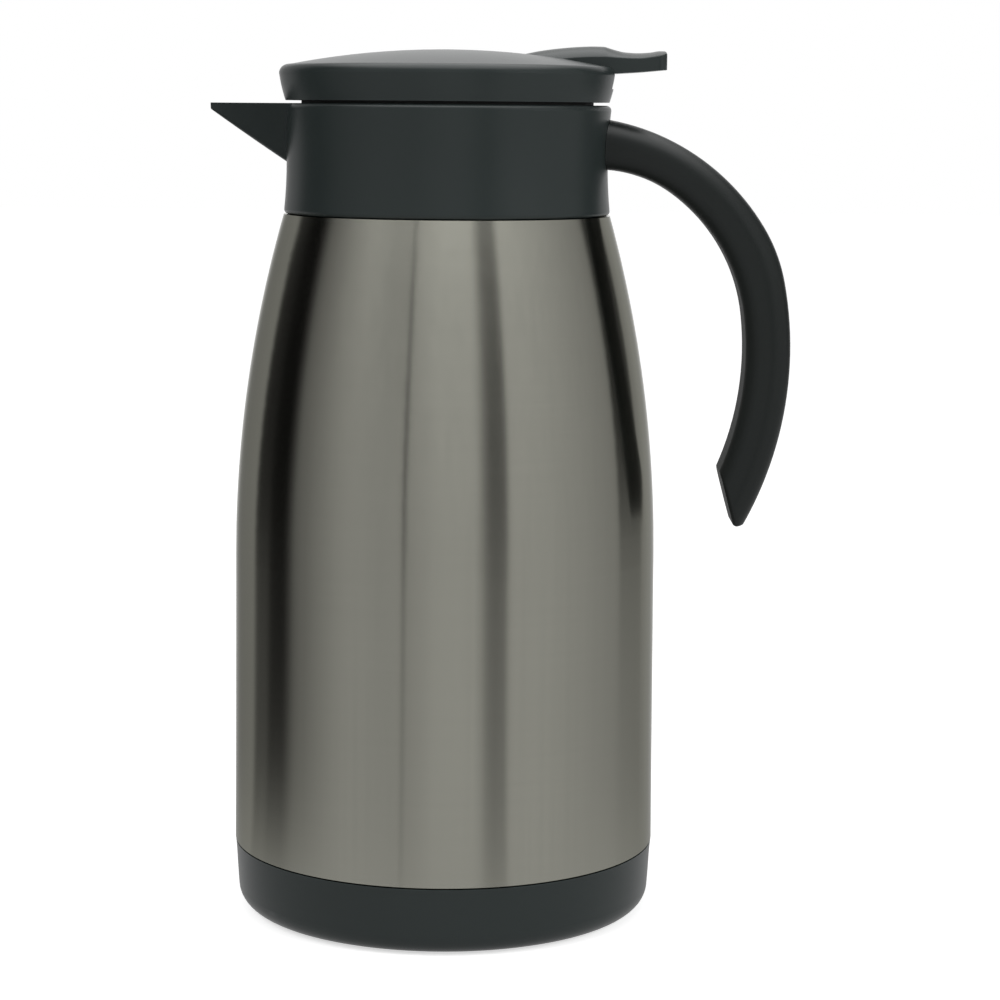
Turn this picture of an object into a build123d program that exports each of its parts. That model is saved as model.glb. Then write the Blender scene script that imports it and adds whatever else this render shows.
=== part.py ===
"""Vacuum carafe: a double steel body, a beaked collar, a hook handle and a screw-in stopper lid.

A thumb lever in the lid lifts the stopper's pour valve. The origin is the middle of the face that the
carafe stands on. +Z is up, the handle is on +X and the spout on -X. All sizes are in millimetres.
"""
import os
from math import acos, atan2, cos, degrees, hypot, radians, sin, sqrt, tan

from build123d import *

os.makedirs("parts", exist_ok=True)

# ---- fits -----------------------------------------------------------------------------------------
seat_gap = 0.1  # between pieces that are assembled once and stay put
running_gap = 0.06  # radial play of a pin or a stem in its bore
moving_gap = 0.3  # between pieces that travel past each other
nip = 0.05  # radial ease of a ring that grips a stem
cut_over = 2.0  # how far a cut runs on past what it opens
radius_match = 0.005  # arcs whose radii are this close count as one arc

# ---- mouth, worked outwards and inwards from the steel neck ---------------------------------------
neck_r = 40.8
steel_wall = 0.8
neck_gap = 3.0  # vacuum between the two steel necks
sleeve_wall = 2.2
ridge_h = 2.2  # how far the pour cup's thread ridges stand in
thread_crest_gap = 0.5
sealing_ledge_w = 2.8
barrel_wall = 2.9
skirt_t = 1.9
mouth_clear = 0.5
mouth_seat_w = 1.7
mouth_wall_t = 1.8
mouth_gap = 2.0  # from the pour cup to the collar's bore
collar_wall = 1.7

flask_neck_bore_r = neck_r - steel_wall - neck_gap
sleeve_out_r = flask_neck_bore_r - 2 * seat_gap
thread_bore_r = sleeve_out_r - sleeve_wall
ridge_crest_r = thread_bore_r - ridge_h
sealing_ledge_in_r = ridge_crest_r - sealing_ledge_w
barrel_r = ridge_crest_r - thread_crest_gap
barrel_bore_r = barrel_r - barrel_wall
lug_crest_r = thread_bore_r - thread_crest_gap
skirt_in_r = neck_r + seat_gap
ledge_in_r = skirt_in_r + skirt_t + mouth_clear
mouth_wall_out_r = ledge_in_r + mouth_seat_w
mouth_wall_in_r = mouth_wall_out_r - mouth_wall_t
collar_bore_r = mouth_wall_out_r + mouth_gap

# ---- steel body -----------------------------------------------------------------------------------
body_foot_r = 65.0
body_taper = 0.5  # radius lost over the straight part of the side
seam_z = 21.6  # where steel meets the base cup
taper_h = 89.4
shoulder_h = 103.5
throat_rise = 4.5
throat_round = 1.6
neck_h = 13.5  # from the shoulder ring to the lip
joggle_depth = 3.2  # the steel steps in by this much to enter the base cup
joggle_rise = 0.4
vacuum_gap = 4.7
shell_foot_z = 8.0
flask_stand = 8.0  # from the shell's foot up to the flask's floor
flask_floor_round = 12.0
flask_shoulder_drop = 17.5
flask_shoulder_round = 9.0
flask_neck_drop = 5.0
bottom_flange_h = 4.6
bottom_round = 2.0
seal_port_r = 2.0
seal_bead_r = 5.0
seal_bead_t = 1.4
getter_r = 6.0
getter_t = 1.8
getter_x = 22.0

taper_top_r = body_foot_r - body_taper
taper_top_z = seam_z + taper_h
shoulder_z = taper_top_z + shoulder_h  # flat ring of the shell that the collar stands on
neck_root_z = shoulder_z + throat_rise
lip_z = shoulder_z + neck_h
flask_foot_z = shell_foot_z + flask_stand
flask_shoulder_z = shoulder_z - flask_shoulder_drop
flask_neck_root_z = neck_root_z - flask_neck_drop
foot_r = body_foot_r - joggle_depth

# ---- base -----------------------------------------------------------------------------------------
cup_reveal = 0.1  # the steel stands this far outside the cup's rim
cup_flare = 1.4
cup_flare_lean = 0.12  # run over rise where the flare meets the rim
cup_foot_z = 0.6
cup_floor_t = 2.0
cup_edge_round = 6.5
groove_h = 0.5  # shadow line between cup and steel
cup_rib_count = 6
cup_rib_t = 1.6
foot_ring_inset = 17.0
foot_ring_w = 5.0
foot_channel_h = 1.2
cup_recess_inset = 6.0
cup_recess_h = 0.8

cup_rim_r = body_foot_r - cup_reveal
cup_foot_r = cup_rim_r - cup_flare
foot_ring_in_r = body_foot_r - foot_ring_inset

# ---- collar and spout -----------------------------------------------------------------------------
collar_lift = 0.15  # shadow line between steel and collar
collar_h = 33.0
collar_waist_h = 13.95
collar_foot_flare = 0.9
collar_top_flare = 1.05
collar_top_round = 1.5
collar_foot_round = 1.2
ledge_t = 2.1
spout_reach = 22.0
spout_tip_half_w = 1.1
spout_tip_h = 1.9
spout_tip_keel_round = 0.7
spout_nose_round = 0.5
spout_mid_run = 8.0  # from the tip back to where the keel bends
spout_mid_h = 7.5
spout_root_h = 19.4
spout_root_run = 1.0  # the loft ends this far inside the collar's bore
spout_throat_run = 3.0
spout_half_angle = 31.0
spout_keel_round = 2.4
spout_wall = 1.9

collar_waist_r = collar_bore_r + collar_wall
collar_foot_r = collar_waist_r + collar_foot_flare
collar_top_r = collar_waist_r + collar_top_flare
collar_foot_z = shoulder_z + collar_lift
collar_waist_z = collar_foot_z + collar_waist_h
collar_top_z = collar_foot_z + collar_h
spout_tip_x = -collar_top_r - spout_reach
spout_mid_x = spout_tip_x + spout_mid_run
spout_root_x = spout_root_run - collar_bore_r
spout_throat_x = spout_throat_run - collar_bore_r
spout_tip_keel_z = collar_top_z - spout_tip_h
spout_mid_keel_z = collar_top_z - spout_mid_h
spout_root_keel_z = collar_top_z - spout_root_h

# ---- pour cup inside the collar -------------------------------------------------------------------
neck_gasket_t = 1.5
neck_gasket_w = 3.4
mouth_floor_t = 2.0
mouth_rim_drop = 0.65
sleeve_depth = 21.5
sealing_ledge_t = 2.0
skirt_h = 9.0
spout_notch_half_w = 12.0
spout_notch_sill = 2.0

mouth_floor_z = lip_z + neck_gasket_t
mouth_floor_top_z = mouth_floor_z + mouth_floor_t
mouth_rim_z = collar_top_z - mouth_rim_drop
sleeve_foot_z = mouth_floor_z - sleeve_depth
sealing_ledge_z = sleeve_foot_z + sealing_ledge_t
skirt_foot_z = mouth_floor_z - skirt_h

# ---- multi-start stopper thread -------------------------------------------------------------------
thread_starts = 4
thread_lead = 24.0
thread_root_t = 2.4
thread_crest_t = 1.2
thread_rise = 9.0  # from the sleeve's foot to the start of the stopper's ridges
lug_span = 60.0  # degrees of turn of each ridge on the stopper
ridge_span = 70.0  # degrees of turn of each ridge in the pour cup
thread_bite = 0.6  # depth of a ridge's root inside the wall that carries it

thread_z = sleeve_foot_z + thread_rise

# ---- stopper --------------------------------------------------------------------------------------
seat_recess = 0.9  # depth of the snap recess that holds the valve seat
seal_room = 2.6
plate_lift = 1.05
plate_t = 2.0
plate_gap = 2.4
window_count = 6
window_w = 22.0
window_h = 9.0
window_drop = 3.7
seat_hole_r = 14.0
seat_plate_t = 2.2
seat_lip_h = 0.8
seat_lip_w = 1.2
stopper_seal_w = 2.3
stopper_seal_round = 0.7
lid_gasket_lap = 1.0  # how far the gasket reaches over the pour cup's rim
lid_gasket_w = 1.9
guide_boss_r = 4.0
guide_boss_h = 3.2

barrel_foot_z = sealing_ledge_z + seal_room
plate_z = collar_top_z + plate_lift
plate_top_z = plate_z + plate_t
plate_r = collar_bore_r - plate_gap
window_high_z = plate_z - window_drop
seat_top_z = barrel_foot_z + seat_plate_t + seat_lip_h

# ---- lid cover ------------------------------------------------------------------------------------
lid_lift = 0.9  # open line between collar and lid
lid_tuck = 0.75
lid_side_bulge = 1.3
lid_side_h = 4.75
lid_flare = 1.9
lid_rim_h = 8.05
brow_in = 1.05
brow_h = 2.1
dome_in = 3.15
dome_edge_h = 2.7
dome_rise = 4.77
lid_wall = 2.0
slot_side_gap = 0.8
slot_end_gap = 0.6
slot_floor_h = 4.05
slot_floor_t = 1.6
pocket_wall_t = 1.6
pocket_wall_run = 5.0
pocket_floor_run = 5.5
lid_screw_count = 3
lid_screw_offset = 6.1  # from the barrel's side out to the screws
lid_screw_angle = 60.0
lid_boss_r = 3.4
screw_r = 1.5
screw_head_r = 2.8
lid_screw_len = 8.5
lid_screw_head_h = 1.5

lid_foot_z = collar_top_z + lid_lift
lid_foot_r = collar_top_r - lid_tuck
lid_rim_r = lid_foot_r + lid_flare
lid_rim_z = lid_foot_z + lid_rim_h
dome_edge_r = lid_rim_r - dome_in
dome_edge_z = lid_rim_z + dome_edge_h
dome_top_z = dome_edge_z + dome_rise
slot_floor_z = lid_foot_z + slot_floor_h
lid_screw_pcd_r = barrel_r + lid_screw_offset

# ---- thumb lever ----------------------------------------------------------------------------------
pivot_x = 23.0
pivot_drop = 0.6  # the pin lies this far under the lid's rim
pin_r = 1.5
lever_half_w = 7.7
lever_boss_r = 4.0
lever_overhang = 15.1
arm_drop = 1.0
arm_t = 3.0
arm_tip_run = 5.0
arm_tip_drop = 1.2
arm_half_w = 6.0
lever_end_round = 3.0
lever_edge_round = 0.7
# share of the lever's length behind the pin; underside, side edge and crest above the pin
lever_ribs = (
    (-0.005, -0.2, 4.3, 6.9),
    (0.116, 0.3, 4.8, 7.9),
    (0.256, 0.7, 5.4, 8.7),
    (0.395, 0.8, 5.95, 9.2),
    (0.49, 0.9, 6.1, 9.35),
    (0.56, 1.0, 6.15, 9.25),
    (0.637, 1.15, 6.05, 8.4),
    (0.7, 1.35, 5.95, 7.8),
    (0.79, 1.65, 5.85, 7.4),
    (0.907, 2.1, 6.5, 7.9),
    (0.965, 2.3, 6.8, 8.05),
    (1.0, 2.45, 6.75, 7.8),
)

pivot_z = lid_rim_z - pivot_drop
lever_end_x = lid_rim_r + lever_overhang
arm_high_z = pivot_z - arm_drop
arm_low_z = arm_high_z - arm_t
slot_half_w = lever_half_w + slot_side_gap
slot_inner_x = pivot_x - slot_end_gap

# ---- valve ----------------------------------------------------------------------------------------
stem_r = 2.5
stem_over = 1.2  # the stem's end above its clip
plug_lap = 2.8  # how far the plug reaches over the seat's hole
plug_t = 3.5
plug_edge_round = 1.0
plug_disc_r = 9.0
plug_disc_t = 1.2
stem_button_r = 4.5
stem_button_h = 1.3
spring_r = 5.5
spring_wire_r = 0.45
spring_turns = 5
spring_room = 12.7  # height between the stem's flange and the stopper's plate
spring_flange_r = 6.8
spring_flange_t = 1.5
o_ring_section_r = 0.8
clip_r = 4.2
clip_t = 0.9
clip_groove_depth = 0.5
clip_mouth_w = 3.2

plug_z = seat_top_z + moving_gap
plug_r = seat_hole_r + plug_lap
spring_foot_z = plate_z - spring_room
clip_z = arm_high_z + moving_gap
stem_top_z = clip_z + clip_t + stem_over

# ---- handle ---------------------------------------------------------------------------------------
handle_w = 22.0
back_root_in = 8.35  # the arcs start this far inside the collar's top edge
back_root_drop = 3.31
back_heading = -3.54  # degrees from +X
back_radii = (69.7, 50.06, 110.68)
back_sweeps = (54.65, 20.43)  # the last arc runs on down to the foot
grip_root_in = 2.31
grip_root_drop = 19.11
grip_heading = -3.0
grip_radii = (40.0, 52.9, 91.65)
grip_sweeps = (31.89, 47.88)
handle_drop = 127.4  # from the collar's top to the foot's toe
heel_rise = 17.0
toe_w = 3.2  # flat end between the grip side and the back
back_round = 7.0
grip_round = 4.6
foot_round = 1.4
foot_overrun = 5.0  # degrees that the arcs run on before the foot is cut
handle_wall = 2.8
root_block = 11.25  # the root stays solid this far out of the collar, for the screws
cover_half_w = 6.4
cover_t = 2.2
cover_end_trim = 9.0  # degrees of the last back arc left bare at the foot
cover_shelf_w = 1.4  # ledge on each side that the cover rests on
handle_screw_drops = (15.65, 10.45)
handle_screw_len = 9.5
handle_screw_head_h = 1.7
handle_screw_head_r = 2.4

back_root = (collar_top_r - back_root_in, collar_top_z - back_root_drop)
grip_root = (collar_top_r - grip_root_in, collar_top_z - grip_root_drop)
handle_foot_z = collar_top_z - handle_drop
heel_z = handle_foot_z + heel_rise
root_block_x = collar_top_r + root_block
handle_screw_z = [collar_top_z - drop for drop in handle_screw_drops]

# ---- the long shoulder arc: tangent to the taper and ending flush with the collar's foot ----------
taper_slope = body_taper / taper_h
taper_len = hypot(1, taper_slope)
shoulder_in = taper_top_r - collar_foot_r
shoulder_sag = (shoulder_in - shoulder_h * taper_slope) / taper_len
shoulder_arc_r = (shoulder_in**2 + shoulder_h**2) / (2 * shoulder_sag)
shoulder_centre_r = taper_top_r - shoulder_arc_r / taper_len
shoulder_centre_z = taper_top_z - shoulder_arc_r * taper_slope / taper_len
flask_inset = steel_wall + vacuum_gap


def body_radius(z, inset=0.0):
    """Radius of the body at height z, on a surface that lies inset under the steel's outer face."""
    if z <= taper_top_z:
        return taper_top_r + (taper_top_z - z) * taper_slope - inset * taper_len
    return shoulder_centre_r + sqrt((shoulder_arc_r - inset) ** 2 - (z - shoulder_centre_z) ** 2)


def body_side(low_z, high_z, inset=0.0):
    """The body's side from low_z to high_z: a slight taper and then the long shoulder arc."""
    mid_z = (taper_top_z + high_z) / 2
    taper = Line((body_radius(low_z, inset), low_z), (body_radius(taper_top_z, inset), taper_top_z))
    shoulder = ThreePointArc(
        taper @ 1,
        (body_radius(mid_z, inset), mid_z),
        (body_radius(high_z, inset), high_z),
    )
    return shoulder @ 1


def ring(inner_r, outer_r, low_z, height):
    """A plain ring about the Z axis."""
    with BuildSketch(Plane.XY.offset(low_z)) as section:
        Circle(outer_r)
        Circle(inner_r, mode=Mode.SUBTRACT)
    extrude(section.sketch, amount=height)


def arc_chain(start, heading, radii, sweeps, depth=0.0):
    """Tangent arcs that all turn clockwise, set in by depth towards their centres."""
    first = (
        start[0] + depth * sin(radians(heading)),
        start[1] - depth * cos(radians(heading)),
    )
    tangent = (cos(radians(heading)), sin(radians(heading)))
    arcs = []
    for radius, sweep in zip(radii, sweeps):
        arc = JernArc(start=first, tangent=tangent, radius=radius - depth, arc_size=-sweep)
        arcs.append(arc)
        first = arc @ 1
        tangent = arc % 1
    return arcs


def sweeps_down_to(level, start, heading, radii, sweeps):
    """The sweeps, with a last one added that brings the arcs down to a level."""
    here = start[1]
    turned = radians(heading)
    for radius, sweep in zip(radii, sweeps):
        here -= radius * (cos(turned) - cos(turned - radians(sweep)))
        turned -= radians(sweep)
    last_turn = turned + acos(cos(turned) - (here - level) / radii[-1])
    return sweeps + (degrees(last_turn),)


# ==== steel shells =================================================================================
with BuildPart() as outer_shell:
    with BuildSketch(Plane.XZ):
        with BuildLine():
            foot_side = Line((foot_r, shell_foot_z), (foot_r, seam_z - joggle_rise))
            joggle = Line(foot_side @ 1, (body_radius(seam_z), seam_z))
            shoulder_rim = body_side(seam_z, shoulder_z)
            throat = FilletPolyline(
                shoulder_rim,
                (neck_r + throat_rise, shoulder_z),
                (neck_r, neck_root_z),
                (neck_r, lip_z - steel_wall),
                radius=throat_round,
            )
            Polyline(throat @ 1, (0, lip_z - steel_wall), (0, shell_foot_z), foot_side @ 0)
        make_face()
    revolve(axis=Axis.Z)
    open_ends = [outer_shell.faces().sort_by(Axis.Z)[0], outer_shell.faces().sort_by(Axis.Z)[-1]]
    offset(amount=-steel_wall, openings=open_ends)
outer_shell.part.label = "outer_shell"
export_step(outer_shell.part, "parts/outer_shell.step")

with BuildPart() as inner_flask:
    flask_neck_r = flask_neck_bore_r + steel_wall
    with BuildSketch(Plane.XZ):
        with BuildLine():
            flask_foot = (body_radius(flask_foot_z, flask_inset), flask_foot_z)
            flask_brow = body_side(flask_foot_z, flask_shoulder_z, flask_inset)
            Polyline(flask_brow, (flask_neck_r, flask_neck_root_z), (flask_neck_r, lip_z), (0, lip_z))
            Polyline((0, lip_z), (0, flask_foot_z), flask_foot)
        make_face()
        fillet(vertices().group_by(Axis.Y)[0].sort_by(Axis.X)[-1], radius=flask_floor_round)
        shoulder_bends = vertices().sort_by(Axis.Y)[-4:-2]
        fillet(shoulder_bends, radius=flask_shoulder_round)
    revolve(axis=Axis.Z)
    offset(amount=-steel_wall, openings=inner_flask.faces().sort_by(Axis.Z)[-1])
    ring(flask_neck_bore_r, neck_r, lip_z - steel_wall, steel_wall)
inner_flask.part.label = "inner_flask"
export_step(inner_flask.part, "parts/inner_flask.step")

with BuildPart() as outer_bottom:
    pan_r = foot_r - steel_wall - seat_gap
    with BuildSketch(Plane.XY.offset(shell_foot_z)):
        Circle(pan_r)
    extrude(amount=bottom_flange_h)
    fillet(outer_bottom.edges().group_by(Axis.Z)[-1], radius=bottom_round)
    offset(amount=-steel_wall, openings=outer_bottom.faces().sort_by(Axis.Z)[0])
    pan_top_z = shell_foot_z + bottom_flange_h
    with Locations((0, 0, pan_top_z)):
        Hole(radius=seal_port_r, depth=steel_wall + cut_over)
outer_bottom.part.label = "outer_bottom"
export_step(outer_bottom.part, "parts/outer_bottom.step")

with BuildPart() as vacuum_seal_bead:
    with BuildSketch(Plane.XY.offset(pan_top_z - steel_wall - seal_bead_t)):
        Circle(seal_bead_r)
    extrude(amount=seal_bead_t)
    fillet(vacuum_seal_bead.edges().group_by(Axis.Z)[0], radius=seal_bead_t / 2)
vacuum_seal_bead.part.label = "vacuum_seal_bead"
export_step(vacuum_seal_bead.part, "parts/vacuum_seal_bead.step")

with BuildPart() as getter:
    with BuildSketch(Plane.XY.offset(pan_top_z)):
        with Locations((getter_x, 0)):
            Circle(getter_r)
    extrude(amount=getter_t)
    fillet(getter.edges().group_by(Axis.Z)[-1], radius=getter_t / 3)
getter.part.label = "getter"
export_step(getter.part, "parts/getter.step")

# ==== base =========================================================================================
with BuildPart() as base_cup:
    cup_rim_z = seam_z - groove_h
    cup_floor_top_z = cup_foot_z + cup_floor_t
    with BuildSketch(Plane.XZ):
        with BuildLine():
            side = Line((cup_foot_r, cup_foot_z), (cup_foot_r + cup_flare / 2, cup_rim_z / 2))
            flare = Spline(side @ 1, (cup_rim_r, cup_rim_z), tangents=(side % 1, (cup_flare_lean, 1)))
            Polyline(flare @ 1, (0, cup_rim_z), (0, cup_foot_z), side @ 0)
        make_face()
        fillet(vertices().group_by(Axis.Y)[0].sort_by(Axis.X)[-1], radius=cup_edge_round)
    revolve(axis=Axis.Z)
    with BuildSketch(Plane.XY.offset(cup_floor_top_z)):
        Circle(foot_r + seat_gap)
    extrude(until=Until.LAST, mode=Mode.SUBTRACT)
    with BuildSketch(Plane.XY.offset(cup_floor_top_z)):
        with PolarLocations(foot_ring_in_r, cup_rib_count):
            Rectangle(2 * (foot_r - foot_ring_in_r), cup_rib_t)
    extrude(amount=shell_foot_z - seat_gap - cup_floor_top_z)
    with BuildSketch(Plane.XY.offset(cup_foot_z)):
        Circle(foot_ring_in_r + foot_ring_w)
        Circle(foot_ring_in_r, mode=Mode.SUBTRACT)
    extrude(amount=foot_channel_h, mode=Mode.SUBTRACT)
    with BuildSketch(Plane.XY.offset(cup_foot_z)):
        Circle(foot_ring_in_r - cup_recess_inset)
    extrude(amount=cup_recess_h, mode=Mode.SUBTRACT)
base_cup.part.label = "base_cup"
export_step(base_cup.part, "parts/base_cup.step")

with BuildPart() as foot_ring:
    ring(foot_ring_in_r + seat_gap, foot_ring_in_r + foot_ring_w - seat_gap, 0, cup_foot_z + foot_channel_h)
    fillet(foot_ring.edges().group_by(Axis.Z)[0], radius=cup_foot_z * 2 / 3)
foot_ring.part.label = "foot_ring"
export_step(foot_ring.part, "parts/foot_ring.step")


# ==== collar =======================================================================================
def spout_section(x, half_w, keel_z, keel_round):
    """One V section of the spout, across the X axis, with its rounded keel at keel_z."""
    centre_z = keel_z + keel_round
    rise = collar_top_z - centre_z
    turn = atan2(rise, half_w) - acos(keel_round / hypot(half_w, rise))
    touch_y = keel_round * cos(turn)
    touch_z = centre_z + keel_round * sin(turn)
    with BuildSketch(Plane(origin=(x, 0, 0), x_dir=(0, 1, 0), z_dir=(1, 0, 0))) as section:
        with BuildLine():
            keel = ThreePointArc((-touch_y, touch_z), (0, keel_z), (touch_y, touch_z))
            Polyline(keel @ 1, (half_w, collar_top_z), (-half_w, collar_top_z), keel @ 0)
        make_face()
    return section.sketch


def spout_half_w(x):
    """Half width of the spout's mouth at x."""
    return spout_tip_half_w + (x - spout_tip_x) * tan(radians(spout_half_angle))


def collar_outline(inner_r, grow=0.0):
    """Section of the collar's wall, waisted and rounded outside and straight inside."""
    with BuildSketch(Plane.XZ) as section:
        with BuildLine():
            outside = ThreePointArc(
                (collar_foot_r + grow, collar_foot_z),
                (collar_waist_r + grow, collar_waist_z),
                (collar_top_r + grow, collar_top_z),
            )
            Polyline(outside @ 1, (inner_r, collar_top_z), (inner_r, collar_foot_z), outside @ 0)
        make_face()
        fillet(section.vertices().group_by(Axis.Y)[-1].sort_by(Axis.X)[-1], radius=collar_top_round)
        fillet(section.vertices().group_by(Axis.Y)[0].sort_by(Axis.X)[-1], radius=collar_foot_round)
    return section.sketch


with BuildPart() as collar:
    root_half_w = spout_half_w(spout_root_x)
    mid_half_w = spout_half_w(spout_mid_x)
    beak = [
        spout_section(spout_tip_x, spout_tip_half_w, spout_tip_keel_z, spout_tip_keel_round),
        spout_section(spout_mid_x, mid_half_w, spout_mid_keel_z, spout_keel_round),
        spout_section(spout_root_x, root_half_w, spout_root_keel_z, spout_keel_round),
    ]
    loft(beak)
    nose_edges = collar.faces().sort_by(Axis.X)[0].edges().sort_by(Axis.Z)[:-1]
    fillet(nose_edges, radius=spout_nose_round)
    revolve(collar_outline(0), axis=Axis.Z)
    with BuildSketch(Plane.XY.offset(collar_foot_z)) as bore:
        Circle(collar_bore_r)
    extrude(bore.sketch, amount=collar_top_z - collar_foot_z, mode=Mode.SUBTRACT)
    channel_tip_x = spout_tip_x + 2 * spout_wall
    channel_tip_half_w = spout_half_w(channel_tip_x) - spout_wall
    channel_tip_z = collar_top_z - spout_tip_h / 2
    throat_half_w = spout_half_w(spout_throat_x) - spout_wall
    channel_round = spout_keel_round / 2
    channel = [
        spout_section(channel_tip_x, channel_tip_half_w, channel_tip_z, channel_tip_half_w / 3),
        spout_section(spout_mid_x, mid_half_w - spout_wall, spout_mid_keel_z + spout_wall, channel_round),
        spout_section(spout_throat_x, throat_half_w, spout_root_keel_z + spout_wall, channel_round),
    ]
    loft(channel, mode=Mode.SUBTRACT)
    ring(ledge_in_r, collar_bore_r, mouth_floor_z - seat_gap - ledge_t, ledge_t)
    for screw_z in handle_screw_z:
        with Locations(Plane(origin=(collar_bore_r, 0, screw_z), z_dir=(1, 0, 0))):
            Hole(radius=screw_r + seat_gap, depth=collar_wall + cut_over)
collar.part.label = "collar"
export_step(collar.part, "parts/collar.step")


# ==== pour cup =====================================================================================
def thread_ridge(wall_r, crest_r, low_z, span):
    """One ridge of the stopper thread, rooted a little inside the wall that carries it."""
    outward = 1 if crest_r > wall_r else -1
    root_r = wall_r - outward * thread_bite
    with BuildPart() as ridge:
        with BuildLine() as path:
            Helix(pitch=thread_lead, height=thread_lead * span / 360, radius=wall_r, center=(0, 0, low_z))
        with BuildSketch(Plane.XZ) as profile:
            Polygon(
                (root_r, low_z - thread_root_t / 2),
                (crest_r, low_z - thread_crest_t / 2),
                (crest_r, low_z + thread_crest_t / 2),
                (root_r, low_z + thread_root_t / 2),
                align=None,
            )
        sweep(profile.sketch, path=path.line, is_frenet=True)
    return ridge.part


half_pitch = thread_lead / thread_starts / 2
mouth_ridge = thread_ridge(thread_bore_r, ridge_crest_r, thread_z + half_pitch, ridge_span)
stopper_ridge = thread_ridge(barrel_r, lug_crest_r, thread_z, lug_span)

with BuildPart() as mouth_cup:
    skirt_out_r = skirt_in_r + skirt_t
    with BuildSketch(Plane.XZ):
        with BuildLine():
            Polyline(
                (sealing_ledge_in_r, sleeve_foot_z),
                (sleeve_out_r, sleeve_foot_z),
                (sleeve_out_r, mouth_floor_z),
                (skirt_in_r, mouth_floor_z),
                (skirt_in_r, skirt_foot_z),
                (skirt_out_r, skirt_foot_z),
                (skirt_out_r, mouth_floor_z),
                (mouth_wall_out_r, mouth_floor_z),
                (mouth_wall_out_r, mouth_rim_z),
                (mouth_wall_in_r, mouth_rim_z),
                (mouth_wall_in_r, mouth_floor_top_z),
                (thread_bore_r, mouth_floor_top_z),
                (thread_bore_r, sealing_ledge_z),
                (sealing_ledge_in_r, sealing_ledge_z),
                close=True,
            )
        make_face()
        rounded = vertices().filter_by_position(Axis.Y, mouth_floor_top_z - seat_gap, mouth_rim_z + seat_gap)
        fillet(rounded, radius=mouth_wall_t / 3)
    revolve(axis=Axis.Z)
    notch_low_z = mouth_floor_top_z + spout_notch_sill
    notch_h = mouth_rim_z + cut_over - notch_low_z
    with BuildSketch(Plane.YZ.offset(-mouth_wall_out_r - cut_over)) as notch:
        with Locations((0, notch_low_z)):
            RectangleRounded(
                2 * spout_notch_half_w,
                notch_h,
                radius=mouth_wall_t / 2,
                align=(Align.CENTER, Align.MIN),
            )
    extrude(notch.sketch, amount=mouth_wall_out_r / 2, mode=Mode.SUBTRACT)
    with PolarLocations(0, thread_starts):
        add(mouth_ridge)
mouth_cup.part.label = "mouth_cup"
export_step(mouth_cup.part, "parts/mouth_cup.step")

with BuildPart() as neck_gasket:
    ring(flask_neck_bore_r + seat_gap, flask_neck_bore_r + neck_gasket_w, lip_z, neck_gasket_t)
neck_gasket.part.label = "neck_gasket"
export_step(neck_gasket.part, "parts/neck_gasket.step")

# ==== stopper ======================================================================================
with BuildPart() as stopper_body:
    guide_bore_r = stem_r + running_gap
    seat_bore_r = barrel_bore_r + seat_recess
    seat_recess_top_z = barrel_foot_z + seat_plate_t + seat_gap
    o_ring_pocket_r = stem_r + 2 * o_ring_section_r + seat_gap
    o_ring_floor_z = plate_top_z - 2 * o_ring_section_r - seat_gap
    with BuildSketch(Plane.XZ):
        with BuildLine():
            Polyline(
                (guide_bore_r, plate_z - guide_boss_h),
                (guide_boss_r, plate_z - guide_boss_h),
                (guide_boss_r, plate_z),
                (barrel_bore_r, plate_z),
                (barrel_bore_r, seat_recess_top_z),
                (seat_bore_r, seat_recess_top_z),
                (seat_bore_r, barrel_foot_z),
                (barrel_r, barrel_foot_z),
                (barrel_r, plate_z),
                (plate_r, plate_z),
                (plate_r, plate_top_z),
                (o_ring_pocket_r, plate_top_z),
                (o_ring_pocket_r, o_ring_floor_z),
                (guide_bore_r, o_ring_floor_z),
                close=True,
            )
        make_face()
    revolve(axis=Axis.Z)
    window_mid_z = window_high_z - window_h / 2
    with PolarLocations(0, window_count, start_angle=180 / window_count):
        with Locations(Plane(origin=(barrel_bore_r, 0, window_mid_z), z_dir=(1, 0, 0))):
            Box(window_h, window_w, barrel_r, mode=Mode.SUBTRACT)
    with PolarLocations(0, thread_starts):
        add(stopper_ridge)
    with Locations(Plane(origin=(0, 0, plate_z), x_dir=(1, 0, 0), z_dir=(0, 0, -1))):
        with PolarLocations(lid_screw_pcd_r, lid_screw_count, start_angle=lid_screw_angle):
            CounterSinkHole(screw_r + seat_gap, screw_head_r + seat_gap, depth=plate_t + cut_over)
stopper_body.part.label = "stopper_body"
export_step(stopper_body.part, "parts/stopper_body.step")

with BuildPart() as stopper_seal:
    seal_out_r = ridge_crest_r - moving_gap
    seal_foot_z = sealing_ledge_z + moving_gap
    ring(seal_out_r - stopper_seal_w, seal_out_r, seal_foot_z, barrel_foot_z - seat_gap - seal_foot_z)
    fillet(stopper_seal.edges().group_by(Axis.Z)[0], radius=stopper_seal_round)
stopper_seal.part.label = "stopper_seal"
export_step(stopper_seal.part, "parts/stopper_seal.step")

with BuildPart() as valve_seat:
    ring(seat_hole_r, seat_bore_r - seat_gap, barrel_foot_z, seat_plate_t)
    ring(seat_hole_r, seat_hole_r + seat_lip_w, barrel_foot_z + seat_plate_t, seat_lip_h)
    fillet(valve_seat.edges().group_by(Axis.Z)[-1], radius=seat_lip_w / 4)
valve_seat.part.label = "valve_seat"
export_step(valve_seat.part, "parts/valve_seat.step")

with BuildPart() as lid_gasket:
    gasket_foot_z = mouth_rim_z + moving_gap
    gasket_in_r = mouth_wall_in_r + lid_gasket_lap - lid_gasket_w
    ring(gasket_in_r, gasket_in_r + lid_gasket_w, gasket_foot_z, plate_z - gasket_foot_z)
    fillet(lid_gasket.edges().group_by(Axis.Z)[0], radius=lid_gasket_w / 4)
lid_gasket.part.label = "lid_gasket"
export_step(lid_gasket.part, "parts/lid_gasket.step")

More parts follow.
